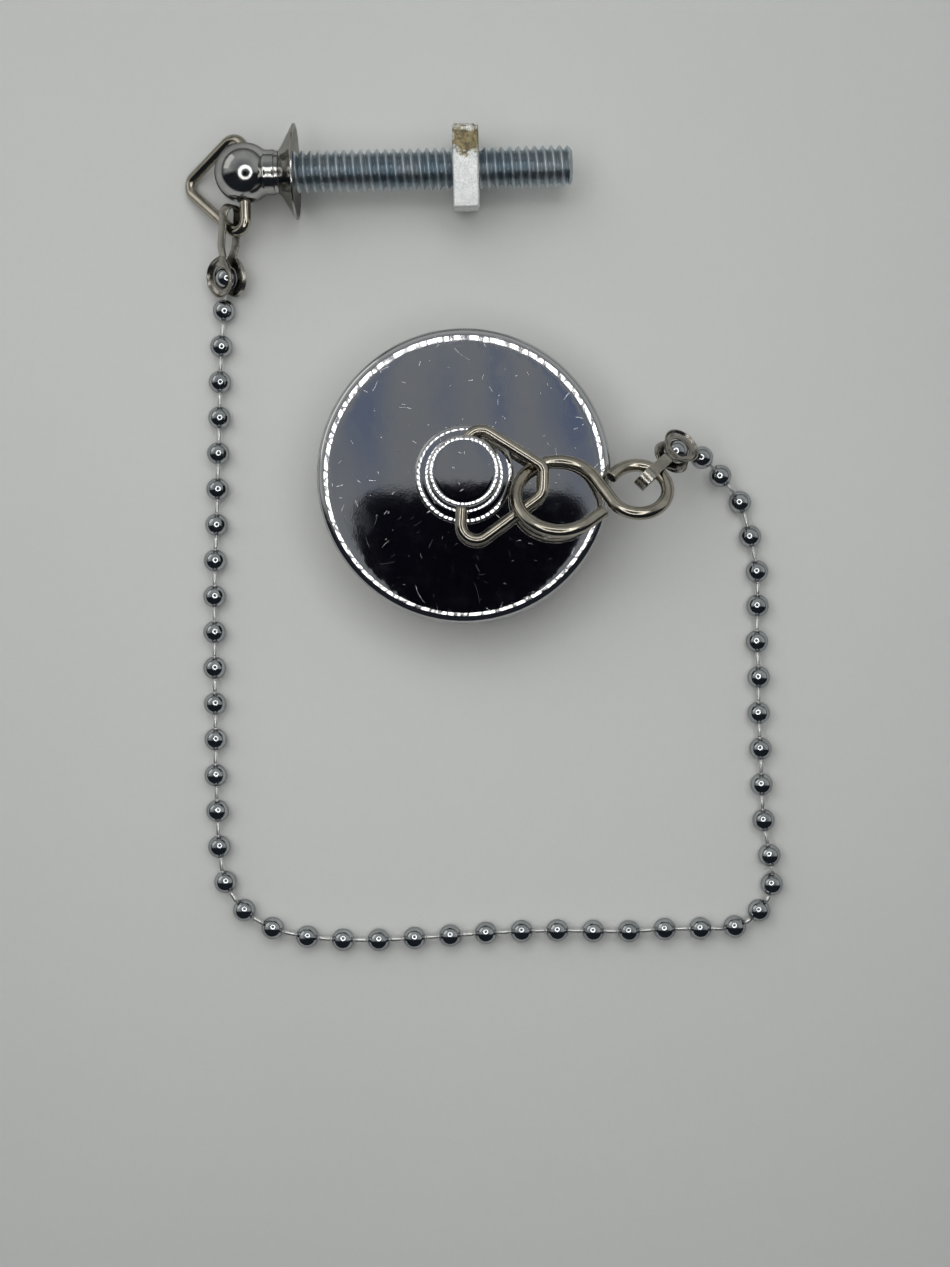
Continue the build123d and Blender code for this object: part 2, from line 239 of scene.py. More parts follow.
def refine(profile, closed, step, round_r=0.0, arc=6):
    """A profile with its corners rounded and its long runs split up."""
    points = [arr(p) for p in profile]
    count = len(points)
    out = []
    for i, point in enumerate(points):
        if round_r and (closed or 0 < i < count - 1):
            before, after = points[i - 1] - point, points[(i + 1) % count] - point
            run_in, run_out = np.linalg.norm(before), np.linalg.norm(after)
            if run_in > 1e-6 and run_out > 1e-6:
                before, after = before / run_in, after / run_out
                bend = math.acos(max(-1, min(1, float(before @ after))))
                if bend < math.radians(168):
                    cut = min(round_r / max(math.tan(bend / 2), 0.15),
                              run_in * 0.42, run_out * 0.42)
                    start, end = point + before * cut, point + after * cut
                    out += [(1 - t) ** 2 * start + 2 * t * (1 - t) * point + t * t * end
                            for t in np.linspace(0, 1, arc)]
                    continue
        out.append(point)
    return split_runs(out, closed, step)


def arc_points(centre, radius, start, sweep, count):
    """2-D points along an arc; angles in degrees."""
    angle = np.radians(start + sweep * np.linspace(0, 1, count))
    return np.stack([centre[0] + radius * np.cos(angle), centre[1] + radius * np.sin(angle)], 1)


def corner_steps(steps):
    """(x side, y side, cosine, sine) at each point round a rectangle's rounded corners."""
    for side_x, side_y, start in ((1, 1, 0), (-1, 1, 90), (-1, -1, 180), (1, -1, 270)):
        for deg in np.linspace(0, 90, steps):
            angle = math.radians(start + deg)
            yield side_x, side_y, math.cos(angle), math.sin(angle)


def lathe_arrays(profile, closed, origin, axis, segs, hint=UP, warp=None):
    """Turned shape from rows of (distance along the axis, radius).

    warp(along, radius, angle) gives a shift along the axis and one in radius.
    """
    axis, side, side2 = frame_of(axis, hint)
    angle = np.linspace(0, 2 * math.pi, segs, endpoint=False)
    spoke = np.cos(angle)[:, None] * side + np.sin(angle)[:, None] * side2
    along, radius = profile[:, 0], np.maximum(profile[:, 1], 0.0005)
    verts = arr(origin) + along[:, None, None] * axis + radius[:, None, None] * spoke[None]
    if warp is not None:
        shift, swell = warp(along[:, None], radius[:, None], angle[None])
        verts = verts + shift[..., None] * axis + swell[..., None] * spoke[None]
    verts = verts.reshape(-1, 3)
    centre = verts.mean(0) if closed else arr(origin) + axis * along.mean()
    return verts, face_outward(verts, grid_faces(len(profile), segs, closed), centre)


def lathe(name, profile, origin, axis, segs, finish, body, node, step, round_r=0.0, warp=None,
          hint=UP):
    """A turned piece with a closed profile."""
    rows = refine(profile, True, step, round_r)
    verts, faces = lathe_arrays(rows, True, origin, axis, segs, hint, warp)
    piece(name, verts, faces, finish, body, node)


def drill(verts, faces, origin, axis, radius, depth, project=lambda points: points):
    """Cuts a round hole right through a shell, and gives each mouth an inner wall.

    project puts the points of the hole's edge back on the shell.
    """
    axis = unit(axis)
    offset = verts - origin
    along = offset @ axis
    side = offset - along[:, None] * axis
    dist = np.linalg.norm(side, axis=1)
    inside = dist < radius
    faces = faces[~inside[faces].all(1)]
    used = np.unique(faces)
    moved = used[inside[used]]
    push = side[moved] / np.maximum(dist[moved], 1e-6)[:, None] * radius
    verts = verts.copy()
    verts[moved] = project(origin + along[moved][:, None] * axis + push)
    # an edge that only one face has is on the border
    edges = {}
    for face in faces:
        for i in range(len(face)):
            edge = (face[i], face[(i + 1) % len(face)])
            key = (min(edge), max(edge))
            edges[key] = None if key in edges else edge
    rim = set(int(i) for i in moved)
    border = [e for e in edges.values() if e is not None and int(e[0]) in rim and int(e[1]) in rim]
    deep, new = {}, []
    for edge in border:
        for i in edge:
            if i not in deep:
                deep[i] = len(verts) + len(new)
                mouth = 1 if (verts[i] - origin) @ axis > 0 else -1
                new.append(verts[i] - axis * depth * mouth)
    walls = [(end, start, deep[start], deep[end]) for start, end in border]
    return np.vstack([verts, new]) if new else verts, [tuple(f) for f in faces] + walls


def fillet_loop(corners, radii):
    """A closed 2-D loop through corners with rounded bends."""
    points = [arr(c) for c in corners]
    out = []
    for i, (point, radius) in enumerate(zip(points, radii)):
        before = unit(points[i - 1] - point)
        after = unit(points[(i + 1) % len(points)] - point)
        half = math.acos(max(-1, min(1, float(before @ after)))) / 2
        cut = radius / math.tan(half)
        centre = point + unit(before + after) * (radius / math.sin(half))
        start, end = point + before * cut - centre, point + after * cut - centre
        angle = math.atan2(start[1], start[0])
        sweep = (math.atan2(end[1], end[0]) - angle + math.pi) % (2 * math.pi) - math.pi
        out += [centre + radius * arr((math.cos(angle + sweep * t), math.sin(angle + sweep * t)))
                for t in np.linspace(0, 1, 18)]
    return split_runs(out, True, 0.48)


# rounded end of a wire: (distance in from the end, radius), as shares of the wire's radius
WIRE_END = arr([(0.0, 0.55), (0.0, 0.80), (0.14 * 0.18, 0.93), (0.14 * 0.55, 0.985)])


def tube_arrays(points, radius, segs, closed, shape, start_normal):
    """Round wire along 3-D points. shape(share of length, angle) scales the radius."""
    count = len(points)
    tangents = np.roll(points, -1, 0) - np.roll(points, 1, 0)
    if not closed:
        tangents[0], tangents[-1] = points[1] - points[0], points[-1] - points[-2]
    tangents /= np.linalg.norm(tangents, axis=1)[:, None]
    normals = np.zeros_like(points)
    normals[0] = unit(start_normal - tangents[0] * (start_normal @ tangents[0]))
    for i in range(1, count):
        last = normals[i - 1]
        normals[i] = unit(last - tangents[i] * (last @ tangents[i]))
    if closed:
        # spread the twist that is left where the loop meets itself
        last = unit(normals[-1] - tangents[0] * (normals[-1] @ tangents[0]))
        miss = math.atan2(np.cross(last, normals[0]) @ tangents[0], last @ normals[0])
        for i in range(count):
            normals[i] = turn(normals[i], tangents[i], math.degrees(miss) * i / count)
        at, inset, scale = list(range(count)), np.zeros(count), np.ones(count)
    else:
        cap = len(WIRE_END)
        at = [0] * cap + list(range(1, count - 1)) + [count - 1] * cap
        inset = np.concatenate([WIRE_END[:, 0], np.zeros(count - 2), -WIRE_END[::-1, 0]])
        scale = np.concatenate([WIRE_END[:, 1], np.ones(count - 2), WIRE_END[::-1, 1]])
    binormals = np.cross(tangents, normals)[at]
    centres = points[at] + tangents[at] * inset[:, None] * radius
    angle = np.linspace(0, 2 * math.pi, segs, endpoint=False)
    radii = radius * scale[:, None] * shape(np.linspace(0, 1, len(at))[:, None], angle[None])
    verts = centres[:, None] + radii[..., None] * (
        np.cos(angle)[None, :, None] * normals[at][:, None]
        + np.sin(angle)[None, :, None] * binormals[:, None])
    verts = verts.reshape(-1, 3)
    faces = grid_faces(len(at), segs, closed)[:, [0, 3, 2, 1]]
    return verts, list(faces) if closed else list(faces) + end_caps(len(verts), segs)


def end_caps(total, around):
    """Faces over the first and the last row of an open tube."""
    return [tuple(range(around - 1, -1, -1)), tuple(range(total - around, total))]


# ---------------------------------------------------------------- materials
class Nodes:
    """Short calls that add nodes to a tree."""

    def __init__(self, tree):
        self.tree = tree

    def put(self, socket, value):
        if hasattr(value, "is_output"):
            self.tree.links.new(value, socket)
        elif isinstance(value, tuple):
            full = len(value) == len(socket.default_value)
            socket.default_value = value if full else (*value, 1.0)
        else:
            socket.default_value = value

    def node(self, kind, inputs=None, **settings):
        node = self.tree.nodes.new("ShaderNode" + kind)
        for key, value in settings.items():
            setattr(node, key, value)
        for key, value in (inputs or {}).items():
            self.put(node.inputs[key], value)
        return node

    def vector(self, operation, *values, **named):
        node = self.node("VectorMath", {**dict(enumerate(values)), **named}, operation=operation)
        return node.outputs["Value" if operation in ("DOT_PRODUCT", "LENGTH") else "Vector"]

    def xyz(self, vector):
        return self.node("SeparateXYZ", {0: vector}).outputs

    def span(self, value, at, to=(0.0, 1.0), smooth=True):
        """Maps the range 'at' onto the range 'to'."""
        return self.node("MapRange", {0: value, 1: at[0], 2: at[1], 3: to[0], 4: to[1]},
                         interpolation_type="SMOOTHSTEP" if smooth else "LINEAR").outputs[0]

    def mix(self, factor, first, second, blend="MIX"):
        return self.node("Mix", {0: factor, 6: first, 7: second},
                         data_type="RGBA", blend_type=blend).outputs[2]


def new_material(name, shader_kind):
    material = bpy.data.materials.new(name)
    material.use_nodes = True
    tree = material.node_tree
    tree.nodes.clear()
    output = tree.nodes.new("ShaderNodeOutputMaterial")
    shader = tree.nodes.new("ShaderNode" + shader_kind)
    tree.links.new(shader.outputs[0], output.inputs[0])
    return material, shader


class Surface(Nodes):
    """A procedural Principled material whose positions are in mm."""

    def __init__(self, name):
        self.material, self.shader = new_material(name, "BsdfPrincipled")
        super().__init__(self.material.node_tree)
        self.pos = self.vector("SCALE", self.node("TexCoord").outputs["Object"], Scale=1 / MM)

    def calc(self, operation, a, b=0.0, clamp=False):
        return self.node("Math", {0: a, 1: b, 2: 0.0},
                         operation=operation, use_clamp=clamp).outputs[0]

    def add(self, a, b, clamp=False):
        return self.calc("ADD", a, b, clamp)

    def sub(self, a, b):
        return self.calc("SUBTRACT", a, b)

    def mul(self, a, b):
        return self.calc("MULTIPLY", a, b)

    def blend(self, factor, start, end):
        """A number between start and end."""
        return self.add(start, self.mul(factor, self.sub(end, start)))

    def vary(self, base, parts):
        """The base plus each (value, gain) part."""
        total = self.mul(*parts[0])
        for part in parts[1:]:
            total = self.add(total, self.mul(*part))
        return self.add(base, total)

    def join(self, x, y, z):
        return self.node("CombineXYZ", {0: x, 1: y, 2: z}).outputs[0]

    def noise(self, scale, detail=3.0, rough=0.5, where=None):
        return self.node("TexNoise", {"Vector": where or self.pos, "Scale": scale,
                                      "Detail": detail, "Roughness": rough}).outputs["Fac"]

    def rotate(self, x, y, cosine, sine):
        first = self.add(self.mul(x, cosine), self.mul(y, sine))
        return first, self.sub(self.mul(y, cosine), self.mul(x, sine))

    def ticks(self, cell, half_length, half_width, share, seed):
        """Short bowed scratches seen from above, one in a share of the cells, turned at random."""
        bow = 0.25
        x, y, _ = self.xyz(self.pos)
        flat = self.join(self.add(x, seed * 7.3), self.add(y, seed * 3.1), 0.0)
        cells = self.node("TexVoronoi", {"Vector": flat, "Scale": 1.0 / cell},
                          voronoi_dimensions="2D")
        local = self.vector("SUBTRACT", flat, cells.outputs["Position"])
        red, green, blue = self.node("SeparateColor", {0: cells.outputs["Color"]}).outputs
        angle = self.mul(red, 6.2832)
        cosine, sine = self.calc("COSINE", angle), self.calc("SINE", angle)
        local_x, local_y, _ = self.xyz(local)
        along, across = self.rotate(local_x, local_y, cosine, sine)
        curve = self.mul(self.sub(blue, 0.5), bow / half_length)
        across = self.add(across, self.mul(curve, self.mul(along, along)))
        reach = self.mul(self.add(0.35, green), half_length)
        on_length = self.span(self.sub(self.calc("ABSOLUTE", along), reach),
                              at=(-0.15 * half_length, 0.0), to=(1.0, 0.0))
        on_width = self.span(self.calc("ABSOLUTE", across),
                             at=(half_width * 0.3, half_width), to=(1.0, 0.0))
        return self.mul(self.mul(on_length, on_width), self.calc("LESS_THAN", blue, share))

    def hair(self, deg, across, along, at, lift=0.0):
        """Fine long scratches that all run one way; across and along are noise scales."""
        angle = math.radians(deg)
        x, y, z = self.xyz(self.pos)
        run, side = self.rotate(x, y, math.cos(angle), math.sin(angle))
        where = self.join(self.mul(run, along), self.mul(side, across),
                          self.mul(z, across * 0.3 + lift))
        return self.span(self.noise(scale=1.0, detail=2.0, rough=0.6, where=where), at)

    def bump(self, height, strength, depth, under=None):
        inputs = {"Strength": strength, "Distance": depth * MM, "Height": height}
        if under is not None:
            inputs["Normal"] = under
        return self.node("Bump", inputs).outputs[0]

    def set(self, **inputs):
        for key, value in inputs.items():
            self.put(self.shader.inputs[key.replace("_", " ")], value)
        return self.material


def scratched_chrome():
    """Plug cap and knob: bright chrome with many short scratches and some haze."""
    mat = Surface("chrome_scratched")
    base = mat.mix(mat.noise(scale=0.09, rough=0.6), (0.60, 0.60, 0.615), (0.68, 0.68, 0.685))
    # cell, half length, half width, share of cells, seed
    tick_sets = [(3.3, 0.65, 0.034, 0.34, 1), (1.9, 0.30, 0.030, 0.24, 5),
                 (6.0, 1.6, 0.026, 0.30, 9), (1.5, 0.07, 0.055, 0.10, 13)]
    ticks, *others = [mat.ticks(*row) for row in tick_sets]
    hairs = [mat.hair(deg=22, across=9.0, along=0.25, at=(0.66, 0.74)),
             mat.hair(deg=-51, across=11.0, along=0.22, at=(0.67, 0.76))]
    # worn patches, stronger toward +Y
    patch = mat.mul(mat.span(mat.noise(scale=0.16, detail=2), at=(0.40, 0.62)),
                    mat.span(mat.xyz(mat.pos)[1], at=(-14.0, 7.0), to=(0.12, 1.0)))
    for other in others:
        ticks = mat.calc("MAXIMUM", ticks, other)
    ticks = mat.mul(ticks, mat.blend(patch, start=0.10, end=1.0))
    hair_gain, tick_tint = 0.30, 0.65
    hair = mat.mul(mat.add(*hairs, clamp=True), mat.mul(patch, hair_gain))
    haze = mat.span(mat.noise(scale=0.35, detail=4, rough=0.65), at=(0.45, 0.75))
    rough = mat.vary(base=0.045, parts=[(haze, 0.035)])
    rough = mat.blend(hair, start=rough, end=0.28)
    rough = mat.blend(ticks, start=rough, end=0.42)
    colour = mat.mix(mat.mul(ticks, tick_tint), base, (0.95, 0.95, 0.95))
    waves = mat.bump(mat.noise(scale=0.14, detail=2), strength=0.25, depth=0.05)
    grain = mat.bump(mat.noise(scale=3.2), strength=0.06, depth=0.02, under=waves)
    normal = mat.bump(mat.sub(1.0, ticks), strength=0.55, depth=0.02, under=grain)
    return mat.set(Base_Color=colour, Metallic=1.0, Roughness=rough, Normal=normal,
                   Specular_Tint=(0.6, 0.6, 0.6))


def small_metal(name, low, high, rough, scale, spot=0.0, deep=0.0, edge=0.55):
    """Small metal pieces: slight waviness and fine scuffs.

    low and high are the colours, spot the strength of dull spots, deep the reach in mm of
    the painted shade in hollows, edge the tint at grazing angles.
    """
    mat = Surface(name)
    colour = mat.mix(mat.span(mat.noise(scale=0.5 * scale, rough=0.6), at=(0.35, 0.68)), low, high)
    scuff = mat.span(mat.noise(scale=6.0 * scale, detail=4, rough=0.7), at=(0.60, 0.72))
    hairs = [mat.hair(deg=35, across=14.0, along=0.9, at=(0.63, 0.72), lift=3.0),
             mat.hair(deg=-62, across=14.0, along=0.9, at=(0.64, 0.74), lift=2.0)]
    hair_gain, spot_shade, painted_shade_dim = 0.5, 0.45, 0.14
    marks = mat.mul(mat.add(*hairs, clamp=True), hair_gain)
    if spot:
        cells = mat.node("TexVoronoi", {"Vector": mat.pos, "Scale": 0.9 * scale})
        spots = mat.span(cells.outputs["Distance"], at=(0.10, 0.22), to=(spot, 0.0))
        colour = mat.mix(spots, colour, tuple(c * spot_shade for c in low))
    rough = mat.vary(base=rough, parts=[(mat.add(scuff, marks), 0.14)])
    waves = mat.bump(mat.noise(scale=0.55 * scale, detail=2), strength=0.30, depth=0.05)
    grain = mat.bump(mat.noise(scale=5.0 * scale, rough=0.6), strength=0.10, depth=0.02,
                     under=waves)
    normal = mat.bump(marks, strength=0.25, depth=0.01, under=grain)
    # painted shade: where ambient occlusion finds a hollow within deep mm, the colour is darkened
    # toward near black
    if deep:
        open_air = mat.node("AmbientOcclusion", {"Distance": deep * MM}).outputs["AO"]
        colour = mat.mix(mat.span(open_air, at=(0.50, 0.96)),
                         tuple(c * painted_shade_dim for c in low), colour)
    return mat.set(Base_Color=colour, Metallic=1.0, Roughness=rough, Normal=normal,
                   Specular_Tint=(edge, edge, edge))


def blue_zinc():
    """Stud: blue passivated zinc, with painted shade low in the thread that leaves the crests
    brighter.
    """
    mat = Surface("zinc_blue")
    offset = mat.vector("SUBTRACT", mat.pos, tuple(BALL))
    along = mat.vector("DOT_PRODUCT", offset, tuple(STUD_DIR))
    on_axis = mat.vector("SCALE", tuple(STUD_DIR), Scale=along)
    crest = mat.span(mat.vector("LENGTH", mat.vector("SUBTRACT", offset, on_axis)),
                     at=(2.5, 3.14))
    hue = mat.mix(mat.span(mat.noise(scale=0.22, rough=0.6), at=(0.36, 0.66)),
                  (0.45, 0.54, 0.60), (0.62, 0.67, 0.70))
    hue = mat.mix(mat.span(mat.noise(scale=0.5), at=(0.55, 0.72), to=(0.0, 0.5)),
                  hue, (0.60, 0.60, 0.66))
    groove_painted_shade, speck_gain = 0.40, 0.5
    # painted shade: the thread's roots darkened toward near black, the crests left at the plain hue
    colour = mat.mix(crest, mat.mix(groove_painted_shade, hue, (0.08, 0.10, 0.12)), hue)
    speck = mat.span(mat.noise(scale=5.0, detail=4, rough=0.7), at=(0.62, 0.75))
    colour = mat.mix(mat.mul(speck, speck_gain), colour, (0.75, 0.78, 0.78))
    rough = mat.vary(base=0.26, parts=[(mat.noise(scale=2.6, detail=4, rough=0.6), 0.16),
                                       (speck, 0.15)])
    waves = mat.bump(mat.noise(scale=1.6, rough=0.6), strength=0.25, depth=0.06)
    normal = mat.bump(mat.noise(scale=9.0, detail=4, rough=0.7), strength=0.28, depth=0.03,
                      under=waves)
    return mat.set(Base_Color=colour, Metallic=1.0, Roughness=rough, Normal=normal)


def mottled_zinc():
    """Square nut: mottled white zinc with a brown stain on one corner."""
    stain_at = tuple(NUT_MID + arr((0, 2.9, 5.9)))
    stain_squeeze = (0.36, 0.40, 0.40)
    stain_ragged, stain_gain, grain_gain = 2.4, 0.95, 0.45
    metal, metal_lost = 0.60, 0.25
    mat = Surface("zinc_mottled")
    patches = mat.span(mat.noise(scale=0.55, detail=4, rough=0.65), at=(0.36, 0.66))
    colour = mat.mix(patches, (0.80, 0.83, 0.82), (0.98, 0.99, 0.98))
    grain = mat.span(mat.noise(scale=3.4, detail=5, rough=0.7), at=(0.38, 0.66))
    colour = mat.mix(mat.mul(grain, grain_gain), colour, (0.38, 0.43, 0.44))
    offset = mat.vector("SUBTRACT", mat.pos, stain_at)
    reach = mat.vector("LENGTH", mat.vector("MULTIPLY", offset, stain_squeeze))
    ragged = mat.mul(mat.sub(mat.noise(scale=0.9, detail=4, rough=0.7), 0.5), stain_ragged)
    stain = mat.span(mat.add(reach, ragged), at=(0.70, 1.20), to=(1.0, 0.0))
    brown = mat.mix(mat.span(mat.noise(scale=1.3, rough=0.6), at=(0.35, 0.65)),
                    (0.09, 0.07, 0.025), (0.30, 0.24, 0.10))
    colour = mat.mix(mat.mul(stain, stain_gain), colour, brown)
    rough = mat.vary(base=0.34, parts=[(grain, 0.16), (stain, 0.15)])
    waves = mat.bump(mat.noise(scale=0.8, detail=4, rough=0.6), strength=0.45, depth=0.16)
    normal = mat.bump(mat.noise(scale=4.0, detail=5, rough=0.7), strength=0.35, depth=0.05,
                      under=waves)
    return mat.set(Base_Color=colour, Metallic=mat.sub(metal, mat.mul(stain, metal_lost)),
                   Roughness=rough, Normal=normal)


def black_rubber():
    """Stopper: black rubber with thin dust and faint level rings."""
    mat = Surface("black_rubber")
    dust_gain = 0.22
    dust = mat.span(mat.noise(scale=1.4, detail=5, rough=0.7), at=(0.52, 0.74))
    colour = mat.mix(mat.noise(scale=0.4, rough=0.6),
                     (0.012, 0.012, 0.013), (0.028, 0.027, 0.026))
    colour = mat.mix(mat.mul(dust, dust_gain), colour, (0.16, 0.155, 0.15))
    rough = mat.vary(base=0.46, parts=[(mat.noise(scale=2.0, detail=4, rough=0.6), 0.22)])
    grain = mat.bump(mat.noise(scale=6.0, detail=4, rough=0.7), strength=0.35, depth=0.05)
    level = mat.join(0.0, 0.0, mat.xyz(mat.pos)[2])
    normal = mat.bump(mat.noise(scale=2.5, detail=2, where=level), strength=0.25, depth=0.05,
                      under=grain)
    return mat.set(Base_Color=colour, Metallic=0.0, Roughness=rough, Normal=normal)


def pale_floor():
    mat = Surface("pale_floor")
    colour = mat.mix(mat.span(mat.noise(scale=0.006), at=(0.35, 0.65)),
                     (0.545, 0.555, 0.545), (0.565, 0.575, 0.566))
    colour = mat.mix(mat.span(mat.noise(scale=0.9, detail=5, rough=0.65), at=(0.3, 0.7),
                              to=(0.0, 0.10)), colour, (0.50, 0.51, 0.50))
    colour = mat.mix(mat.span(mat.noise(scale=4.5, rough=0.7), at=(0.32, 0.68),
                              to=(0.0, 0.16)), colour, (0.47, 0.48, 0.47))
    normal = mat.bump(mat.noise(scale=1.6, detail=5, rough=0.6), strength=0.10, depth=0.05)
    rough = mat.vary(base=0.52, parts=[(mat.noise(scale=0.6), 0.12)])
    return mat.set(Base_Color=colour, Metallic=0.0, Roughness=rough, Normal=normal)


# each finish is a material and its slot
CHROME = (scratched_chrome(), "chrome")
BEAD = (small_metal("bead_chrome", low=(0.44, 0.46, 0.475), high=(0.54, 0.56, 0.575),
                    rough=0.085, scale=1.0, edge=0.35), "bead_chrome")
PIN = (small_metal("pin_steel", low=(0.74, 0.74, 0.73), high=(0.86, 0.86, 0.84),
                   rough=0.38, scale=2.0, edge=0.9), "bead_chrome")
BALL_CHROME = (small_metal("ball_chrome", low=(0.45, 0.45, 0.44), high=(0.56, 0.56, 0.55),
                           rough=0.105, scale=0.5, edge=0.35), "chrome")
FLANGE_CHROME = (small_metal("flange_chrome", low=(0.40, 0.39, 0.36), high=(0.52, 0.51, 0.48),
                             rough=0.13, scale=0.8), "chrome")
WIRE = (small_metal("nickel_wire", low=(0.40, 0.37, 0.31), high=(0.52, 0.485, 0.41),
                    rough=0.15, scale=0.7, spot=0.25), "nickel_wire")
# deep=2.6 paints shade into the hollows of the eyes and the fold
STRIP = (small_metal("nickel_strip", low=(0.42, 0.395, 0.35), high=(0.54, 0.51, 0.455),
                     rough=0.24, scale=0.6, deep=2.6), "nickel_strip")
WASHER = (small_metal("washer_steel", low=(0.50, 0.50, 0.49), high=(0.62, 0.61, 0.60),
                      rough=0.30, scale=0.5), "washer_steel")
ZINC = (blue_zinc(), "zinc_blue")
NUT_ZINC = (mottled_zinc(), "zinc_mottled")
RUBBER = (black_rubber(), "black_rubber")

# ---------------------------------------------------------------- plug
cap_low, cap_high = box_mm("plug_cap")
CAP_R, CAP_TOP, CAP_FOOT = (cap_high[0] - cap_low[0]) / 2, cap_high[2], cap_low[2]
PLUG_C = arr(((cap_low[0] + cap_high[0]) / 2, (cap_low[1] + cap_high[1]) / 2, 0))
CAP_PLATE = 0.8  # thickness
CAP_EDGE = 1.5  # depth of the rolled edge
# rolled edge of the cap: (distance in from the rim, slope in degrees)
CAP_ROLL = [
    (2.55, 0.0), (2.30, 0.3), (2.10, 0.9), (1.85, 2.0), (1.65, 3.2), (1.45, 4.8), (1.30, 6.4),
    (1.15, 8.5), (1.02, 11.0), (0.90, 14.0), (0.80, 17.5), (0.70, 21.5), (0.60, 26.0),
    (0.50, 31.0), (0.40, 37.5), (0.30, 45.0), (0.21, 53.0), (0.13, 61.0), (0.07, 69.0),
    (0.03, 77.0), (0.0, 84.0)]


def upright(rows):
    """(radius, height) rows as the (height, radius) rows that a lathe takes."""
    return [(z, r) for r, z in rows]


def cap_warp(along, r, angle):
    """An uneven pressed edge and a slightly dished top."""
    edge = np.clip((r - (CAP_R - 2.9)) / 1.0, 0, 1) * np.clip((along - (CAP_TOP - 1.6)) / 0.8, 0, 1)
    wave = (0.0032 * np.sin(61 * angle + 2.2 * np.sin(5 * angle))
            + 0.0040 * np.sin(37 * angle + 1 + 1.7 * np.sin(3 * angle))
            + 0.0045 * np.sin(13 * angle + 2)
            + 0.0012 * np.sin(113 * angle + 4 * np.sin(7 * angle)))
    bowl = np.clip(r / CAP_R, 0, 1) ** 2
    dish = 0.02 * np.cos(2 * angle + 0.6) * bowl
    shift = -np.abs(wave) * edge - 0.02 * bowl + dish * 0.4 - 0.01
    return shift, wave * edge * 0.5 - 0.012 * edge


def build_cap():
    rows = [(2.60, CAP_TOP), (8.5, CAP_TOP), (CAP_R - 3.2, CAP_TOP),
            (CAP_R - CAP_ROLL[0][0], CAP_TOP)]
    drop = 0.0
    for (last_in, last_slope), (inset, slope) in zip(CAP_ROLL, CAP_ROLL[1:]):
        drop += (last_in - inset) * math.tan(math.radians((last_slope + slope) / 2))
        rows.append((CAP_R - 0.01 - inset, CAP_TOP - drop))
    inner = CAP_R - CAP_PLATE
    rows += [(CAP_R, CAP_FOOT + 0.32), (CAP_R - 0.05, CAP_FOOT + 0.10), (CAP_R - 0.25, CAP_FOOT),
             (CAP_R - 0.65, CAP_FOOT + 0.05), (inner, CAP_FOOT + 0.3), (inner, CAP_TOP - CAP_EDGE)]
    rows += list(arc_points((CAP_R - CAP_EDGE, CAP_TOP - CAP_EDGE), CAP_EDGE - CAP_PLATE,
                            5, 83, 8))
    rows += [(12.0, CAP_TOP - CAP_PLATE), (2.60, CAP_TOP - CAP_PLATE)]
    lathe("plug_cap_plate", upright(rows), PLUG_C, UP, 384, CHROME, "plug", "plug_cap",
          step=0.45, warp=cap_warp)


def build_stopper():
    low, high = box_mm("plug_stopper")
    top, foot, radius = high[2], low[2], (high[0] - low[0]) / 2
    rows = [(2.7, top), (radius - 0.7, top), (radius, CAP_TOP - CAP_EDGE - 0.2), (radius, 10.35),
            (20.6, 9.7), (20.15, 7.4), (20.5, 7.1), (20.45, 6.5), (19.9, 6.1), (19.0, 0.9),
            (18.2, foot), (15.2, foot), (14.2, 0.8), (12.6, 4.12), (2.7, 4.12)]
    lathe("plug_stopper_rubber", upright(rows), PLUG_C, UP, 192, RUBBER, "plug", "plug_stopper",
          step=0.5, round_r=0.16,
          warp=lambda s, r, a: (0 * r * a, 0.015 * np.sin(5 * a + s) * (r > 15)))


def build_washer():
    low, high = box_mm("plug_backing_washer")
    bore, radius = 2.56, (high[0] - low[0]) / 2
    rows = [(bore, low[2]), (radius, low[2]), (radius, high[2]), (bore, high[2])]
    lathe("plug_washer_plate", upright(rows), PLUG_C, UP, 96, WASHER, "plug",
          "plug_backing_washer", step=0.5, round_r=0.25)


knob_low, knob_high = box_mm("plug_knob")
KNOB_TOP, KNOB_FOOT, KNOB_R = knob_high[2], knob_low[2], (knob_high[0] - knob_low[0]) / 2
HEAD_R, NECK_R, STEM_R = 5.3, 3.8, 2.49
NECK_FOOT, RING_TOP = CAP_TOP + 2.35, CAP_TOP + 0.95
COVE_DEPTH = 0.42
bail_joint = joint("bail_swing")
EYE = arr(bail_joint["pos_m"]) / MM
EYE_DIR = -unit(bail_joint["axis"])


def eased_rim(radius, top, easing):
    """A flat top easing into a round edge. Easing rows are (distance in from the rim, drop)."""
    round_r, drop = easing[-1]
    rows = [(radius - inset, top - fall) for inset, fall in easing]
    for deg in range(16, 87, 10):
        angle = math.radians(deg)
        rows.append((radius - round_r * (1 - math.sin(angle)),
                     top - drop - round_r * (1 - math.cos(angle))))
    return rows


def knob_warp(along, r, angle):
    """Dings round the rims of the head and of the base ring, and a slightly tilted top."""
    rim = (np.clip((r - (HEAD_R - 0.9)) / 0.5, 0, 1) * (along > KNOB_TOP - 1.3)
           * (r < HEAD_R + 0.2))
    dings = (0.004 * np.maximum(0, np.sin(9 * angle + 0.4 + 1.3 * np.sin(2 * angle))) ** 2
             + 0.010 * np.maximum(0, np.sin(2 * angle + 2.1)) ** 24
             + 0.012 * np.maximum(0, np.sin(3 * angle + 1.1)) ** 40)
    ring = np.clip((r - (KNOB_R - 1.0)) / 0.5, 0, 1) * (along > CAP_TOP + 0.3)
    ring_dings = 0.003 * np.maximum(0, np.sin(7 * angle + 1.4)) ** 2
    tilt = 0.004 * (r / HEAD_R) * np.cos(angle - 0.8) * (along > KNOB_TOP - 0.5)
    shift = -dings * rim - ring_dings * ring + np.minimum(tilt, 0.0)
    return shift, -dings * rim * 0.8 - ring_dings * ring


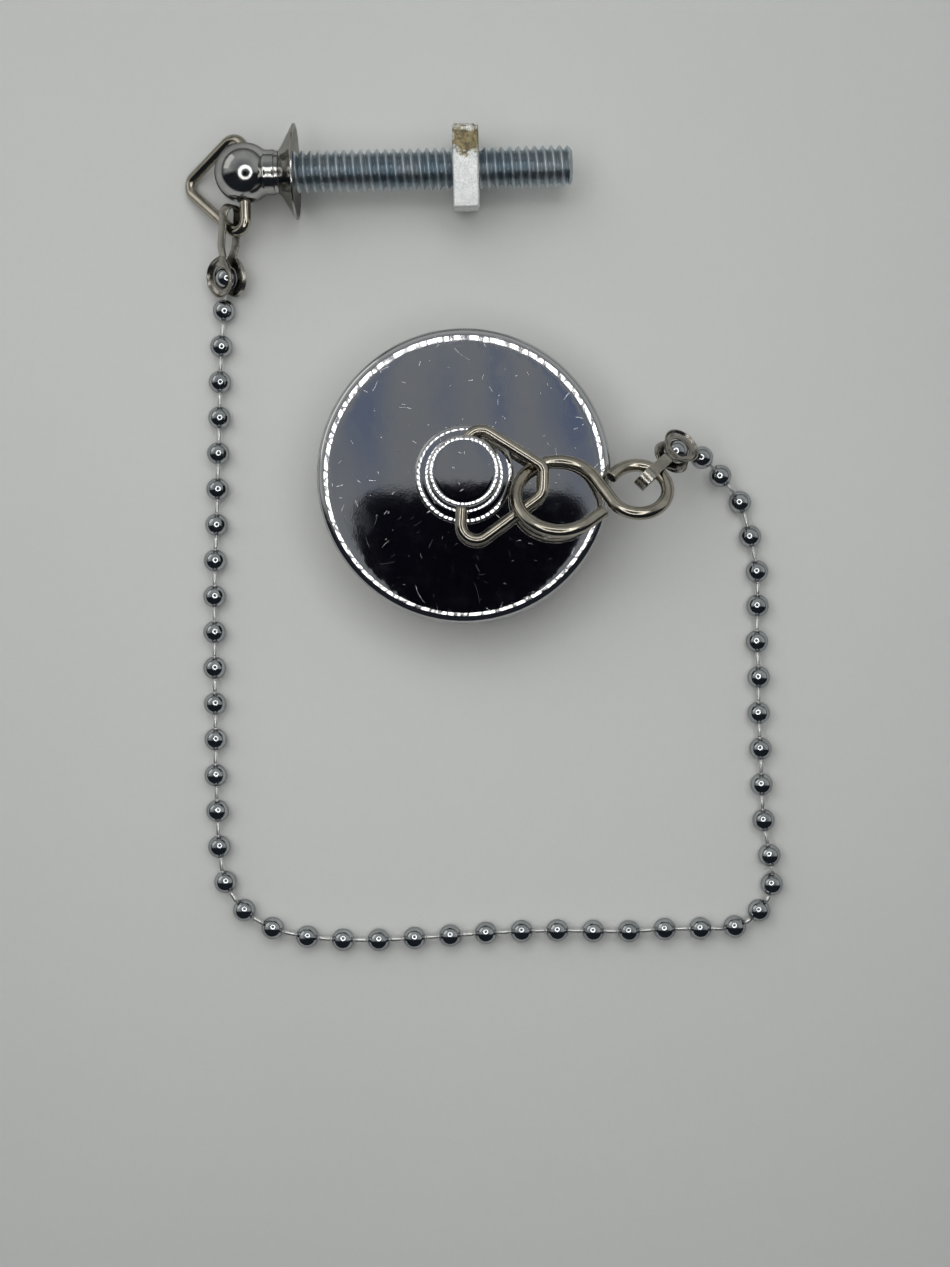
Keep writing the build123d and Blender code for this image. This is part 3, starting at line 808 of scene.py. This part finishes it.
def build_knob():
    rows = [(0.0, KNOB_TOP), (1.5, KNOB_TOP), (3.2, KNOB_TOP - 0.004)]
    rows += eased_rim(HEAD_R, KNOB_TOP, [(1.05, 0.010), (0.85, 0.016), (0.66, 0.034),
                                         (0.50, 0.062), (0.40, 0.090)])
    rows += [(HEAD_R, KNOB_TOP - 0.95), (NECK_R + 0.25, KNOB_TOP - 1.6),
             (NECK_R, KNOB_TOP - 2.1)]
    rows += [(NECK_R, z) for z in np.linspace(KNOB_TOP - 2.2, NECK_FOOT, 34)[1:]]
    # hollow cove from the neck out to the base ring
    start = arr((NECK_R, NECK_FOOT))
    chord = arr((KNOB_R - 1.2, RING_TOP)) - start
    inward = arr((chord[1], -chord[0])) / np.linalg.norm(chord)
    rows += [tuple(start + chord * t + inward * COVE_DEPTH * 4 * t * (1 - t))
             for t in np.linspace(0, 1, 10)[1:]]
    rows += eased_rim(KNOB_R, RING_TOP, [(1.02, 0.0), (0.86, 0.008), (0.68, 0.028),
                                         (0.52, 0.058), (0.42, 0.086)])
    rows += [(KNOB_R, CAP_TOP + 0.12), (KNOB_R - 0.08, CAP_TOP + 0.01),
             (KNOB_R - 0.5, CAP_TOP + 0.005), (2.6, CAP_TOP + 0.01), (STEM_R, CAP_TOP - 0.1),
             (STEM_R, KNOB_FOOT + 1.0), (3.55, KNOB_FOOT + 0.98), (3.45, KNOB_FOOT + 0.75),
             (2.9, KNOB_FOOT + 0.2), (1.6, KNOB_FOOT), (0.0, KNOB_FOOT)]
    verts, faces = lathe_arrays(refine(upright(rows), False, 0.22), False, PLUG_C, UP, 288,
                                (1, 0, 0), knob_warp)
    verts, faces = drill(verts, faces, EYE, EYE_DIR, radius=0.935, depth=0.9)
    piece("plug_knob_turned", verts, faces, CHROME, "plug", "plug_knob")


build_cap()
build_stopper()
build_washer()
build_knob()

# ---------------------------------------------------------------- bent wire
BAIL_WIRE_R, HOOK_WIRE_R = 0.87, 0.97


def bail(name, node, origin, across, toward, corners, radii):
    """A closed loop of wire whose straight leg runs through the origin along 'across'.

    Corners are (toward, across) places, each with its bend radius.
    """
    loop = fillet_loop(corners, radii)
    toward, across = unit(toward), unit(across)
    path = origin + loop[:, :1] * toward + loop[:, 1:] * across
    verts, faces = tube_arrays(
        path, BAIL_WIRE_R, 32, True,
        shape=lambda t, a: 1 + 0.006 * np.sin(3 * a + 9 * t) + 0.005 * np.sin(40 * t + a),
        start_normal=np.cross(toward, across))
    piece(name, verts, faces, WIRE, node, node)


def build_s_hook():
    """Open S of wire: a large bend, a straight crossing and a small bend."""
    lean = math.radians(31.7)
    normal = arr((0, math.sin(lean), math.cos(lean)))
    hook_x = arr((1, 0, 0))
    hook_y = np.cross(normal, hook_x)
    origin = arr((14.05, 1.98, 14.2))
    big_c, big_r, small_c, small_r = arr((0.0, -6.4)), 6.35, arr((11.7, -5.2)), 4.4
    big_start, small_end = -48, 505  # degrees
    # the crossing is the tangent that runs from one side of the large bend to the other
    # side of the small one
    apart = small_c - big_c
    leave = math.degrees(math.atan2(apart[1], apart[0])) + math.degrees(
        math.acos((big_r + small_r) / np.linalg.norm(apart)))
    big = arc_points(big_c, big_r, big_start, leave - 360 - big_start, 120)
    small = arc_points(small_c, small_r, leave + 180, small_end - 180 - leave, 90)
    tail_dir = unit(big[1] - big[0])
    nose_dir = unit(small[-1] - small[-2])
    tail = [big[0] - tail_dir * (3.0 - 0.25 * i) for i in range(12)]
    crossing = [big[-1] + (small[0] - big[-1]) * t for t in np.linspace(0, 1, 10)[1:-1]]
    nose = [small[-1] + nose_dir * reach for reach in (0.17, 0.34, 0.5)]
    flat = np.vstack([tail, big, crossing, small, nose])
    verts, faces = tube_arrays(
        origin + flat[:, :1] * hook_x + flat[:, 1:] * hook_y, HOOK_WIRE_R, 36, False,
        shape=lambda t, a: 1 + 0.004 * np.sin(2 * a + 31 * t) + 0.004 * np.sin(55 * t),
        start_normal=normal)
    piece("s_hook_wire", verts, faces, WIRE, "s_hook", "s_hook")


bail("plug_bail_wire", "plug_bail", EYE, EYE_DIR, turn(np.cross(EYE_DIR, UP), EYE_DIR, 3.7),
     corners=[(0, 7.96), (11.75, 1.6), (11.9, -2.43), (0.0, -12.44)], radii=(2.3, 1.6, 2.2, 2.3))
bail("stay_bail_wire", "stay_bail", BALL, ACROSS, turn(-STUD_DIR, ACROSS, -34.5),
     corners=[(0, 7.25), (11.2, 0.54), (11.25, -1.35), (0, -10.77)], radii=(2.4, 1.3, 1.6, 1.75))
build_s_hook()

# ---------------------------------------------------------------- bead chain
BEAD_R, BEAD_HOLE_R, BEAD_BORE_R = 1.75, 0.50, 1.50
PIN_HEAD_R, PIN_R, PIN_FULL_R = 0.57, 0.275, 0.36
PIN_CLEAR = 1.92  # from a bead's centre to where the fuller shank starts
CHAIN_HINT = (0.3, 0.2, 1)


def bead_and_pin(name):
    """The bead's centre in a CAD node, and the centres of its pin's heads, if it has a pin."""
    bead = heads = None
    for points in node_solids(name):
        low, high = points.min(0), points.max(0)
        size, middle = high - low, (low + high) / 2
        if np.abs(size - 2 * BEAD_R).max() < 0.35:
            if bead is None:
                bead = middle
            continue
        offset = points - points.mean(0)
        spread, axes = np.linalg.eigh(offset.T @ offset)
        slim = spread[0] + spread[1] < 0.35 * spread[2]
        if heads is None and slim and np.linalg.norm(size) < 5.6:
            run = unit(axes[:, 2])
            along = (points - middle) @ run
            heads = middle + run * (along.min() + 0.58), middle + run * (along.max() - 0.58)
    return bead, heads


def bead_profile():
    """Hollow bead, open at both ends, its rims turned in."""
    outer = BEAD_R - 0.004
    mouth = math.sqrt(outer**2 - BEAD_HOLE_R**2)
    open_deg = math.degrees(math.asin(BEAD_HOLE_R / outer)) + 1.5
    rim = [(mouth + 0.005, BEAD_HOLE_R + 0.03), (mouth - 0.05, BEAD_HOLE_R - 0.01),
           (mouth - 0.16, BEAD_HOLE_R)]
    return np.vstack([arc_points((0, 0), outer, 180 - open_deg, 2 * open_deg - 180, 34), rim,
                      arc_points((0, 0), BEAD_BORE_R, 24, 132, 10),
                      [(-s, r) for s, r in reversed(rim)]])


BEAD_PROFILE = bead_profile()


def bead_piece(name, centre, axis, body, node=None):
    # six draws for every bead, of which three are used
    seam_at, oval_at, lobe_at = RNG.random(6)[:3]

    def warp(along, r, angle):
        # rolled from strip: one faint seam, and not quite round
        seam = np.exp(-((np.angle(np.exp(1j * (angle - seam_at * 6.28))) / 0.045) ** 2)) * (r > 0.6)
        oval = 0.005 * (1 + np.cos(2 * angle + oval_at * 6.28)) * (r > 0.8)
        lobes = 0.003 * (1 + np.sin(3 * angle + 5 * lobe_at)) * (r > 0.8)
        return 0 * r * angle, -0.022 * seam - oval - lobes

    verts, faces = lathe_arrays(BEAD_PROFILE, True, centre, axis, 56, CHAIN_HINT, warp)
    piece(name, verts, faces, BEAD, body, node)


def pin_piece(name, heads, body, fuller=False):
    """A link: a small head at each end inside the beads, and a shank, at times fuller."""
    start, end = heads
    run = end - start
    length = np.linalg.norm(run)
    near, far = [min(np.linalg.norm(centre - head) for centre in line) for head in heads]
    full_from, full_to = PIN_CLEAR - near, length - (PIN_CLEAR - far)
    neck = math.asin(PIN_R / PIN_HEAD_R)
    rows = [(PIN_HEAD_R * -math.cos(t), PIN_HEAD_R * math.sin(t))
            for t in np.linspace(0, math.pi - neck, 9)]
    if fuller and full_to - full_from > 0.5:
        ease = PIN_R + (PIN_FULL_R - PIN_R) * 0.7
        rows += [(full_from - 0.02, PIN_R), (full_from + 0.05, ease),
                 (full_from + 0.14, PIN_FULL_R), ((full_from + full_to) / 2, PIN_FULL_R),
                 (full_to - 0.14, PIN_FULL_R), (full_to - 0.05, ease), (full_to + 0.02, PIN_R)]
    else:
        rows += [(length * t, PIN_R) for t in np.linspace(0.25, 0.75, 7)]
    rows += [(length - PIN_HEAD_R * math.cos(t), PIN_HEAD_R * math.sin(t))
             for t in np.linspace(neck, math.pi, 9)]
    verts, faces = lathe_arrays(np.array(rows), False, start, run, 20, CHAIN_HINT)
    piece(name, verts, faces, PIN, body)


bead_nodes = sorted(n for n in frame["nodes"] if n.startswith("bead_link_"))
body_of = {n: body for body, ob in frame["bodies"].items()
           for n in frame["nodes"] if frame["nodes"][n].parent is ob}
found = [bead_and_pin(n) for n in ["plug_clasp", *bead_nodes, "stay_clasp"]]
line = [bead for bead, _ in found]
runs = [unit(after - before) for before, after in zip(line, line[1:])]
bead_axes = [runs[0]] + [unit(a + b) for a, b in zip(runs, runs[1:])] + [runs[-1]]
for i, node in enumerate(bead_nodes, start=1):
    bead_piece("bead_shell_" + node[-2:], line[i], bead_axes[i], body_of[node], node)
    if found[i][1]:
        pin_piece("bead_pin_" + node[-2:], found[i][1], body_of[node], fuller=i != 1)

# ---------------------------------------------------------------- clasps
STRIP_T = 0.33  # thickness
CLASP_LENGTH = 11.35  # from the bead's centre to the outside of the fold
LIP_MID = 0.915  # middle of the strip's thickness where it meets the eyes
# lip of an eye: (distance from the bead's centre along the clasp's normal, radius)
EYE_RIM = [(0.76, 1.66), (0.76, 2.22), (1.02, 2.74), (1.54, 2.985), (1.60, 2.93), (1.585, 2.83),
           (1.19, 2.60), (0.96, 2.14), (0.96, 1.66)]


def strip_mesh(path, across, half_widths, half_t, edge=0.10):
    """A strip with rounded edges swept along a 3-D path, its width along 'across'."""
    tangents = np.gradient(path, axis=0)
    tangents /= np.linalg.norm(tangents, axis=1)[:, None]
    across = unit(across)
    normals = np.cross(tangents, across)
    ring = list(corner_steps(5))
    verts = [point + across * (side_x * (half_w - edge) + edge * cosine)
             + normal * (side_y * (half_t - edge) + edge * sine)
             for point, normal, half_w in zip(path, normals, half_widths)
             for side_x, side_y, cosine, sine in ring]
    faces = grid_faces(len(path), len(ring))[:, [0, 3, 2, 1]]
    return np.array(verts), list(faces) + end_caps(len(verts), len(ring))


def clasp_piece(name, node, bead, tip, normal, fold_in):
    """A strip folded back on itself, ending in two dished eyes that close over the end bead.

    tip points from the bead to the fold; fold_in is the half gap inside the fold.
    """
    tip = unit(tip)
    normal = arr(normal)
    normal = unit(normal - tip * (normal @ tip))
    fold_mid = fold_in + STRIP_T / 2
    fold_at = CLASP_LENGTH - (fold_in + STRIP_T)
    half = [(s, LIP_MID + (fold_mid - LIP_MID) * rise)
            for s, rise in ((1.75, 0), (2.4, 0), (3.15, 0), (3.7, 0.30), (4.35, 0.72))]
    half += [(4.95, fold_mid)]
    half += [(4.95 + (fold_at - 4.95) * t, fold_mid) for t in np.linspace(0.12, 1, 9)]
    half = refine(half, False, 0.16, 0.9, 5)
    bow = arc_points((fold_at, 0.0), fold_mid, 90, -180, 26)[1:-1]
    flat = np.vstack([half, bow, half[::-1] * arr((1, -1))])
    along = flat[:, 0]
    # the strip swells into the eyes, and a little round the fold
    half_widths = (0.84 + 0.10 * np.clip((along - 8.5) / 2.0, 0, 1)
                   + 1.08 * np.clip((3.45 - along) / 1.2, 0, 1) ** 1.5)
    parts = [strip_mesh(bead + flat[:, :1] * tip + flat[:, 1:] * normal, np.cross(normal, tip),
                        half_widths, STRIP_T / 2 - 0.004)]
    for sign in (1, -1):
        rows = refine([(sign * s, r) for s, r in EYE_RIM], True, 0.16, 0.13, 5)

        def tear_drop(s, r, angle):
            # the eye runs out into the strip, and its lip dies away there
            near = np.exp(-((np.angle(np.exp(1j * angle)) / 0.46) ** 2))
            out = np.clip((r - 1.75) / 1.2, 0, 1)
            lip = np.clip((np.abs(s) - 1.0) / 0.5, 0, 1)
            return -sign * 0.40 * near * lip, 0.50 * near * out

        parts.append(lathe_arrays(rows, True, bead, normal, 96, tip, tear_drop))
    verts, faces = merge(parts)
    piece(name, verts, faces, STRIP, node, node, sharp=50)


clasp_piece("plug_clasp_strip", "plug_clasp", line[0], tip=(-0.536, -0.487, 0.690),
            normal=(0.456, 0.521, 0.722), fold_in=1.50)
clasp_piece("stay_clasp_strip", "stay_clasp", line[-1], tip=(0.112, 0.928, 0.356),
            normal=(-0.687, -0.186, 0.702), fold_in=1.25)
bead_piece("plug_clasp_bead", line[0], bead_axes[0], "plug_clasp")
bead_piece("stay_clasp_bead", line[-1], bead_axes[-1], "stay_clasp")
if found[-1][1]:
    pin_piece("stay_clasp_pin", found[-1][1], "stay_clasp")

# ---------------------------------------------------------------- chain stay
BALL_R, BALL_NECK_R, BALL_HOLE_R = 4.6, 3.4, 1.85
NECK_END = 5.4  # along the stud from the ball's centre
STUD_END = 50.2
THREAD_R, ROOT_R, PITCH = 3.165, 2.46, 1.27
NUT_WIDTH, NUT_T, NUT_BORE_R = 12.5, 4.0, 3.26


def on_ball(points):
    """Points moved along the cross hole's axis on to the sphere."""
    along = (points - BALL) @ ACROSS
    side = points - BALL - along[:, None] * ACROSS
    height = np.sqrt(np.maximum(BALL_R**2 - np.linalg.norm(side, axis=1) ** 2, 0))
    return BALL + side + np.sign(along)[:, None] * height[:, None] * ACROSS


def build_ball():
    """Pressed ball with a short neck, and a cross hole for the bail."""
    neck_at = math.sqrt(BALL_R**2 - BALL_NECK_R**2)
    stop = math.pi - math.asin(BALL_NECK_R / BALL_R) - 0.03
    rows = [(-BALL_R * math.cos(t), BALL_R * math.sin(t)) for t in np.linspace(0, stop, 90)]
    rows += [(neck_at + 0.06, BALL_NECK_R + 0.03), (neck_at + 0.25, BALL_NECK_R)]
    # (distance along the stud, change from the neck's radius)
    rows += [(s, BALL_NECK_R + dr) for s, dr in (
        (4.0, 0), (4.6, 0), (4.66, -0.03), (4.74, -0.16), (4.82, -0.18), (5.28, -0.18),
        (5.34, -0.24))]
    rows += [(5.34, 2.62), (5.30, 2.56), (3.2, 2.56)]
    verts, faces = lathe_arrays(refine(rows, False, 0.2), False, BALL, STUD_DIR, 200, ACROSS,
                                lambda s, r, a: (0 * r * a, 0.006 * np.sin(4 * a) * (r > 3)))
    verts, faces = drill(verts, faces, BALL, ACROSS, BALL_HOLE_R, 0.6, on_ball)
    piece("stay_ball_pressed", verts, faces, BALL_CHROME, "stay", "stay_ball")


def flange_warp(along, r, angle):
    dish = np.clip((r - 4) / 3, 0, 1)
    return (0.03 * np.sin(2 * angle + 0.5) * dish - 0.03 * dish,
            0.03 * (np.cos(3 * angle) - 1) * np.clip((r - 6) / 1.2, 0, 1))


def build_flange():
    # (distance past the neck's end, radius)
    rows = [(0.0, 3.28), (0.05, 3.5), (0.35, 3.85), (2.05, 6.85), (2.30, 7.25), (2.60, 7.25),
            (2.62, 6.80), (1.00, 3.95), (0.55, 3.28)]
    lathe("stay_flange_dished", [(NECK_END + s, r) for s, r in rows], BALL, STUD_DIR, 200,
          FLANGE_CHROME, "stay_flange", "stay_flange", step=0.3, round_r=0.10,
          warp=flange_warp, hint=ACROSS)


def build_stud():
    """A true helical thread, a spigot into the ball, and a sheared end with a sunk middle."""
    segs = 72
    start = NECK_END + 0.12
    count = int((STUD_END - start) / 0.075)
    along = np.linspace(start, STUD_END, count)
    angle = np.linspace(0, 2 * math.pi, segs, endpoint=False)
    phase = ((along[:, None] - angle[None] / (2 * math.pi) * PITCH) / PITCH) % 1.0
    rise = np.abs(phase - 0.5) * 2  # 0 in the middle of the groove, 1 at the crest
    depth = np.clip((0.86 - rise) / 0.86, 0, 1) ** 0.92
    radius = THREAD_R - (THREAD_R - ROOT_R) * np.clip(depth * 1.06, 0, 1)
    lead = np.clip((along - start) / 0.45, 0, 1)[:, None]
    radius = np.minimum(radius, ROOT_R + (THREAD_R - ROOT_R) * lead)
    tail_r = THREAD_R - 0.75 * np.clip((along - (STUD_END - 0.75)) / 0.75, 0, 1) ** 1.3
    radius = np.minimum(radius, tail_r[:, None])
    radius = radius + 0.006 * np.sin(7 * angle[None] + along[:, None] * 1.3) - 0.006
    axis, side, side2 = frame_of(STUD_DIR, ACROSS)
    verts = BALL + along[:, None, None] * axis + radius[..., None] * (
        np.cos(angle)[None, :, None] * side + np.sin(angle)[None, :, None] * side2)
    verts = verts.reshape(-1, 3)
    faces = face_outward(verts, grid_faces(count, segs), BALL, STUD_DIR)
    spigot = refine([(2.60, 0.0), (2.60, 2.30), (2.72, 2.43), (start + 0.01, 2.45)], False, 0.4)
    end_face = refine([(STUD_END - 0.002, float(tail_r[-1])), (STUD_END, 2.25),
                       (STUD_END - 0.02, 1.9), (STUD_END - 0.07, 1.2), (STUD_END - 0.10, 0.0)],
                      False, 0.3)
    verts, faces = merge([(verts, faces),
                          lathe_arrays(spigot, False, BALL, STUD_DIR, 48, ACROSS),
                          lathe_arrays(end_face, False, BALL, STUD_DIR, segs, ACROSS)])
    piece("stay_stud_thread", verts, faces, ZINC, "stay", "stay_bolt", sharp=60)


def square_r(angle, half, corner_r):
    """Radius, at each angle, of a square with rounded corners."""
    cosine, sine = np.abs(np.cos(angle)), np.abs(np.sin(angle))
    flat = half / np.maximum(cosine, sine)
    inner = half - corner_r
    reach = inner * (cosine + sine)
    corner = reach + np.sqrt(np.maximum(reach * reach - 2 * inner * inner + corner_r**2, 0))
    return np.where(np.minimum(flat * cosine, flat * sine) > inner, corner, flat)


def build_nut():
    """Square nut, lofted through loops up the bore, over one face, down the flanks and back."""
    angle = np.linspace(0, 2 * math.pi, 240, endpoint=False)
    middle = float((NUT_MID - BALL) @ STUD_DIR)
    side = turn(ACROSS, STUD_DIR, 11.0)
    side2 = np.cross(STUD_DIR, side)
    spoke = np.cos(angle)[:, None] * side + np.sin(angle)[:, None] * side2
    half = NUT_WIDTH / 2
    loop_r = {
        "bore": lambda widen: np.full(len(angle), NUT_BORE_R + widen),
        "face": lambda share: ((NUT_BORE_R + 0.5) * (1 - share)
                               + square_r(angle, half - 0.4, 0.6) * share),
        "flank": lambda inset: square_r(angle, half - inset, 0.5 + (0.5 - inset) * 0.3)}
    top, grooves = NUT_T / 2 - 0.01, 14
    # each loop: distance from the nut's middle, kind, that kind's amount, unevenness
    loops = [(-top + 0.35 + (2 * top - 0.7) * i / grooves, "bore", 0.10 * (i % 2), 0.0)
             for i in range(grooves + 1)]
    loops += [
        (top - 0.16, "bore", 0.22, 0.0), (top, "bore", 0.36, 0.0), (top, "face", 0.12, 0.0),
        (top, "face", 0.45, 0.0), (top - 0.02, "face", 0.80, 0.0),
        (top - 0.05, "flank", 0.34, 0.0), (top - 0.12, "flank", 0.17, 0.01),
        (top - 0.24, "flank", 0.06, 0.008), (top - 0.42, "flank", 0.02, 0.006)]
    loops += [(t * top, "flank", 0.02 + 0.03 * abs(t), 0.004) for t in np.linspace(0.7, -0.7, 7)]
    loops += [
        (-top + 0.34, "flank", 0.02, 0.006), (-top + 0.18, "flank", 0.05, 0.008),
        (-top + 0.07, "flank", 0.12, 0.01), (-top + 0.01, "flank", 0.26, 0.0),
        (-top, "face", 0.80, 0.0), (-top, "face", 0.45, 0.0), (-top, "face", 0.12, 0.0),
        (-top, "bore", 0.36, 0.0), (-top + 0.16, "bore", 0.22, 0.0)]
    verts = []
    for offset, kind, amount, uneven in loops:
        along = middle + offset
        wave = np.sin(angle * 5 + along * 3) + np.sin(angle * 11 + along * 7) * 0.6
        radius = loop_r[kind](amount) + uneven * wave
        verts.append(BALL + STUD_DIR * along + radius[:, None] * spoke)
    verts = np.array(verts).reshape(-1, 3)
    faces = face_outward(verts, grid_faces(len(loops), len(angle), True), verts.mean(0))
    piece("stay_nut_square", verts, faces, NUT_ZINC, "stay_nut", "stay_nut", sharp=48)


build_ball()
build_flange()
build_stud()
build_nut()


# ---------------------------------------------------------------- floor, light, camera
def stage_mesh(name, verts, faces, material, seen=False):
    """Part of the set; unless seen, it shows only in reflections and as light."""
    ob = add_mesh(name, verts, faces, material, smooth=False)
    ob.visible_camera = seen
    ob.visible_shadow = seen


def build_floor():
    half, count = 4200.0, 60
    level = CAD_BOX[0][2] / MM - 0.02
    ticks = np.linspace(-half, half, count)
    verts = [(x, y, level) for y in ticks for x in ticks]
    faces = [(j * count + i, j * count + i + 1, (j + 1) * count + i + 1, (j + 1) * count + i)
             for j in range(count - 1) for i in range(count - 1)]
    stage_mesh("floor", verts, faces, pale_floor(), seen=True)


def glow(name, colour, strength):
    material, emission = new_material(name, "Emission")
    emission.inputs["Color"].default_value = (*colour, 1)
    emission.inputs["Strength"].default_value = strength
    return material


# world brightness by height: (Z of the direction, colour)
SKY = [(0.0, (0.055, 0.058, 0.058)), (0.14, (0.16, 0.165, 0.162)), (0.34, (0.38, 0.39, 0.38)),
       (0.66, (0.40, 0.41, 0.405)), (0.86, (0.25, 0.26, 0.265)), (0.95, (0.180, 0.188, 0.196)),
       (0.985, (0.205, 0.215, 0.225))]


def build_world():
    """Studio surround: a ramp by height, blue streaks overhead toward +Y, dark toward -Y."""
    world = bpy.data.worlds.new("studio")
    bpy.context.scene.world = world
    world.use_nodes = True
    sky = Nodes(world.node_tree)
    background = world.node_tree.nodes["Background"]
    direction = sky.node("TexCoord").outputs["Generated"]
    _, toward_y, height = sky.xyz(direction)
    ramp = sky.node("ValToRGB", {0: height})
    elements = ramp.color_ramp.elements
    while len(elements) < len(SKY):
        elements.new(0.5)
    for element, (position, colour) in zip(elements, SKY):
        element.position = position
        element.color = (*colour, 1)

    def product(a, b):
        return sky.node("Math", {0: a, 1: b}, operation="MULTIPLY").outputs[0]

    stretched = sky.vector("MULTIPLY", direction, (62.0, 5.0, 3.0))
    noise = sky.node("TexNoise", {"Vector": stretched, "Scale": 1.0, "Detail": 3.0})
    streak = sky.span(noise.outputs["Fac"], at=(0.50, 0.66), smooth=False)
    far = sky.span(toward_y, at=(0.055, 0.135), to=(0.08, 1.0))
    high = sky.span(height, at=(0.90, 0.97), smooth=False)
    tinted = sky.mix(product(streak, product(far, high)), ramp.outputs[0], (0.42, 0.58, 1.0),
                     blend="MULTIPLY")
    side = sky.span(toward_y, at=(-0.20, 0.0))
    shaded = sky.mix(side, (0.016, 0.019, 0.024), tinted)
    # the camera itself sees a plain pale backdrop past the floor
    camera_ray = sky.node("LightPath").outputs["Is Camera Ray"]
    sky.put(background.inputs[0], sky.mix(camera_ray, shaded, (0.30, 0.305, 0.305)))
    background.inputs[1].default_value = 1.0


def build_lamp_ring():
    """Small lamps over the work, seen as a broken ring in every polished curve."""
    centre, radius, width, lamps = arr((0.0, 6.0, 172.0)), 70.0, 36.0, 48
    verts, faces = [], []
    for k in range(lamps):
        start = 2 * math.pi * (k + 0.22) / lamps
        end = 2 * math.pi * (k + 0.78) / lamps
        base = len(verts)
        for angle in (start, (start + end) / 2, end):
            for r in (radius - width / 2, radius + width / 2):
                verts.append(centre + arr((math.cos(angle) * r, math.sin(angle) * r, 0)))
        faces += [(base, base + 1, base + 3, base + 2), (base + 2, base + 3, base + 5, base + 4)]
    stage_mesh("lamp_ring", verts, faces,
               glow("lamp_glow", colour=(1.0, 0.995, 0.98), strength=4.2))


def card(name, centre, half_height, half_width, normal, strength, colour):
    """A large dim card low at one side, to give round metal a lighter flank."""
    _, up, side = frame_of(normal)
    verts = [arr(centre) + up * a * half_height + side * b * half_width
             for a, b in ((-1, -1), (1, -1), (1, 1), (-1, 1))]
    stage_mesh(name, verts, [(0, 1, 2, 3)], glow(name + "_glow", colour, strength))


def build_camera_body():
    """Dark rounded rectangle over the work, as a camera body would reflect."""
    x, half_width, y_high, y_low, z, corner = 0.5, 36.0, 19.0, -130.0, 281.0, 9.0
    verts = [(x + side_x * (half_width - corner) + corner * cosine,
              (y_high - corner if side_y > 0 else y_low + corner) + corner * sine, z)
             for side_x, side_y, cosine, sine in corner_steps(8)]
    mat = Surface("camera_body_dark")
    colour = mat.mix(mat.noise(scale=0.02, rough=0.6),
                     (0.0015, 0.0015, 0.003), (0.004, 0.004, 0.008))
    material = mat.set(Specular_IOR_Level=0.0, Base_Color=colour, Metallic=0.0, Roughness=0.8)
    stage_mesh("camera_body", verts, [tuple(range(len(verts)))], material)


def build_soft_key():
    place, target, size = (-130, 170, 700), (0, 10, 0), 950
    light = bpy.data.lights.new("soft_key", "AREA")
    light.shape = "DISK"
    light.size = size * MM
    light.energy = 3.3
    light.color = (1.0, 0.99, 0.97)
    ob = bpy.data.objects.new("soft_key", light)
    bpy.context.scene.collection.objects.link(ob)
    ob.location = tuple(arr(place) * MM)
    ob.rotation_mode = "QUATERNION"
    ob.rotation_quaternion = (Vector(target) - Vector(place)).to_track_quat("-Z", "Y")
    ob.visible_camera = False
    ob.visible_glossy = False


def build_camera():
    data = bpy.data.cameras.new("camera")
    data.sensor_fit = "HORIZONTAL"
    data.sensor_width = 36.0
    data.lens = 67.376842
    data.clip_start = 0.01
    data.clip_end = 10.0
    ob = bpy.data.objects.new("camera", data)
    scene = bpy.context.scene
    scene.collection.objects.link(ob)
    ob.location = tuple(arr((1.64, -23.80, 280.0)) * MM)
    ob.rotation_euler = (0, 0, 0)
    scene.camera = ob
    scene.view_settings.view_transform = "Standard"
    scene.view_settings.look = "None"


build_floor()
build_world()
build_lamp_ring()
card("side_card_left", centre=(-620, 420, 330), half_height=170, half_width=300,
     normal=(0.75, -0.5, -0.25), strength=0.9, colour=(1.0, 0.99, 0.97))
card("side_card_right", centre=(700, 120, 260), half_height=120, half_width=260,
     normal=(-0.9, -0.2, -0.2), strength=0.45, colour=(0.97, 0.98, 1.0))
build_camera_body()
build_soft_key()
build_camera()

bpy.context.view_layer.update()
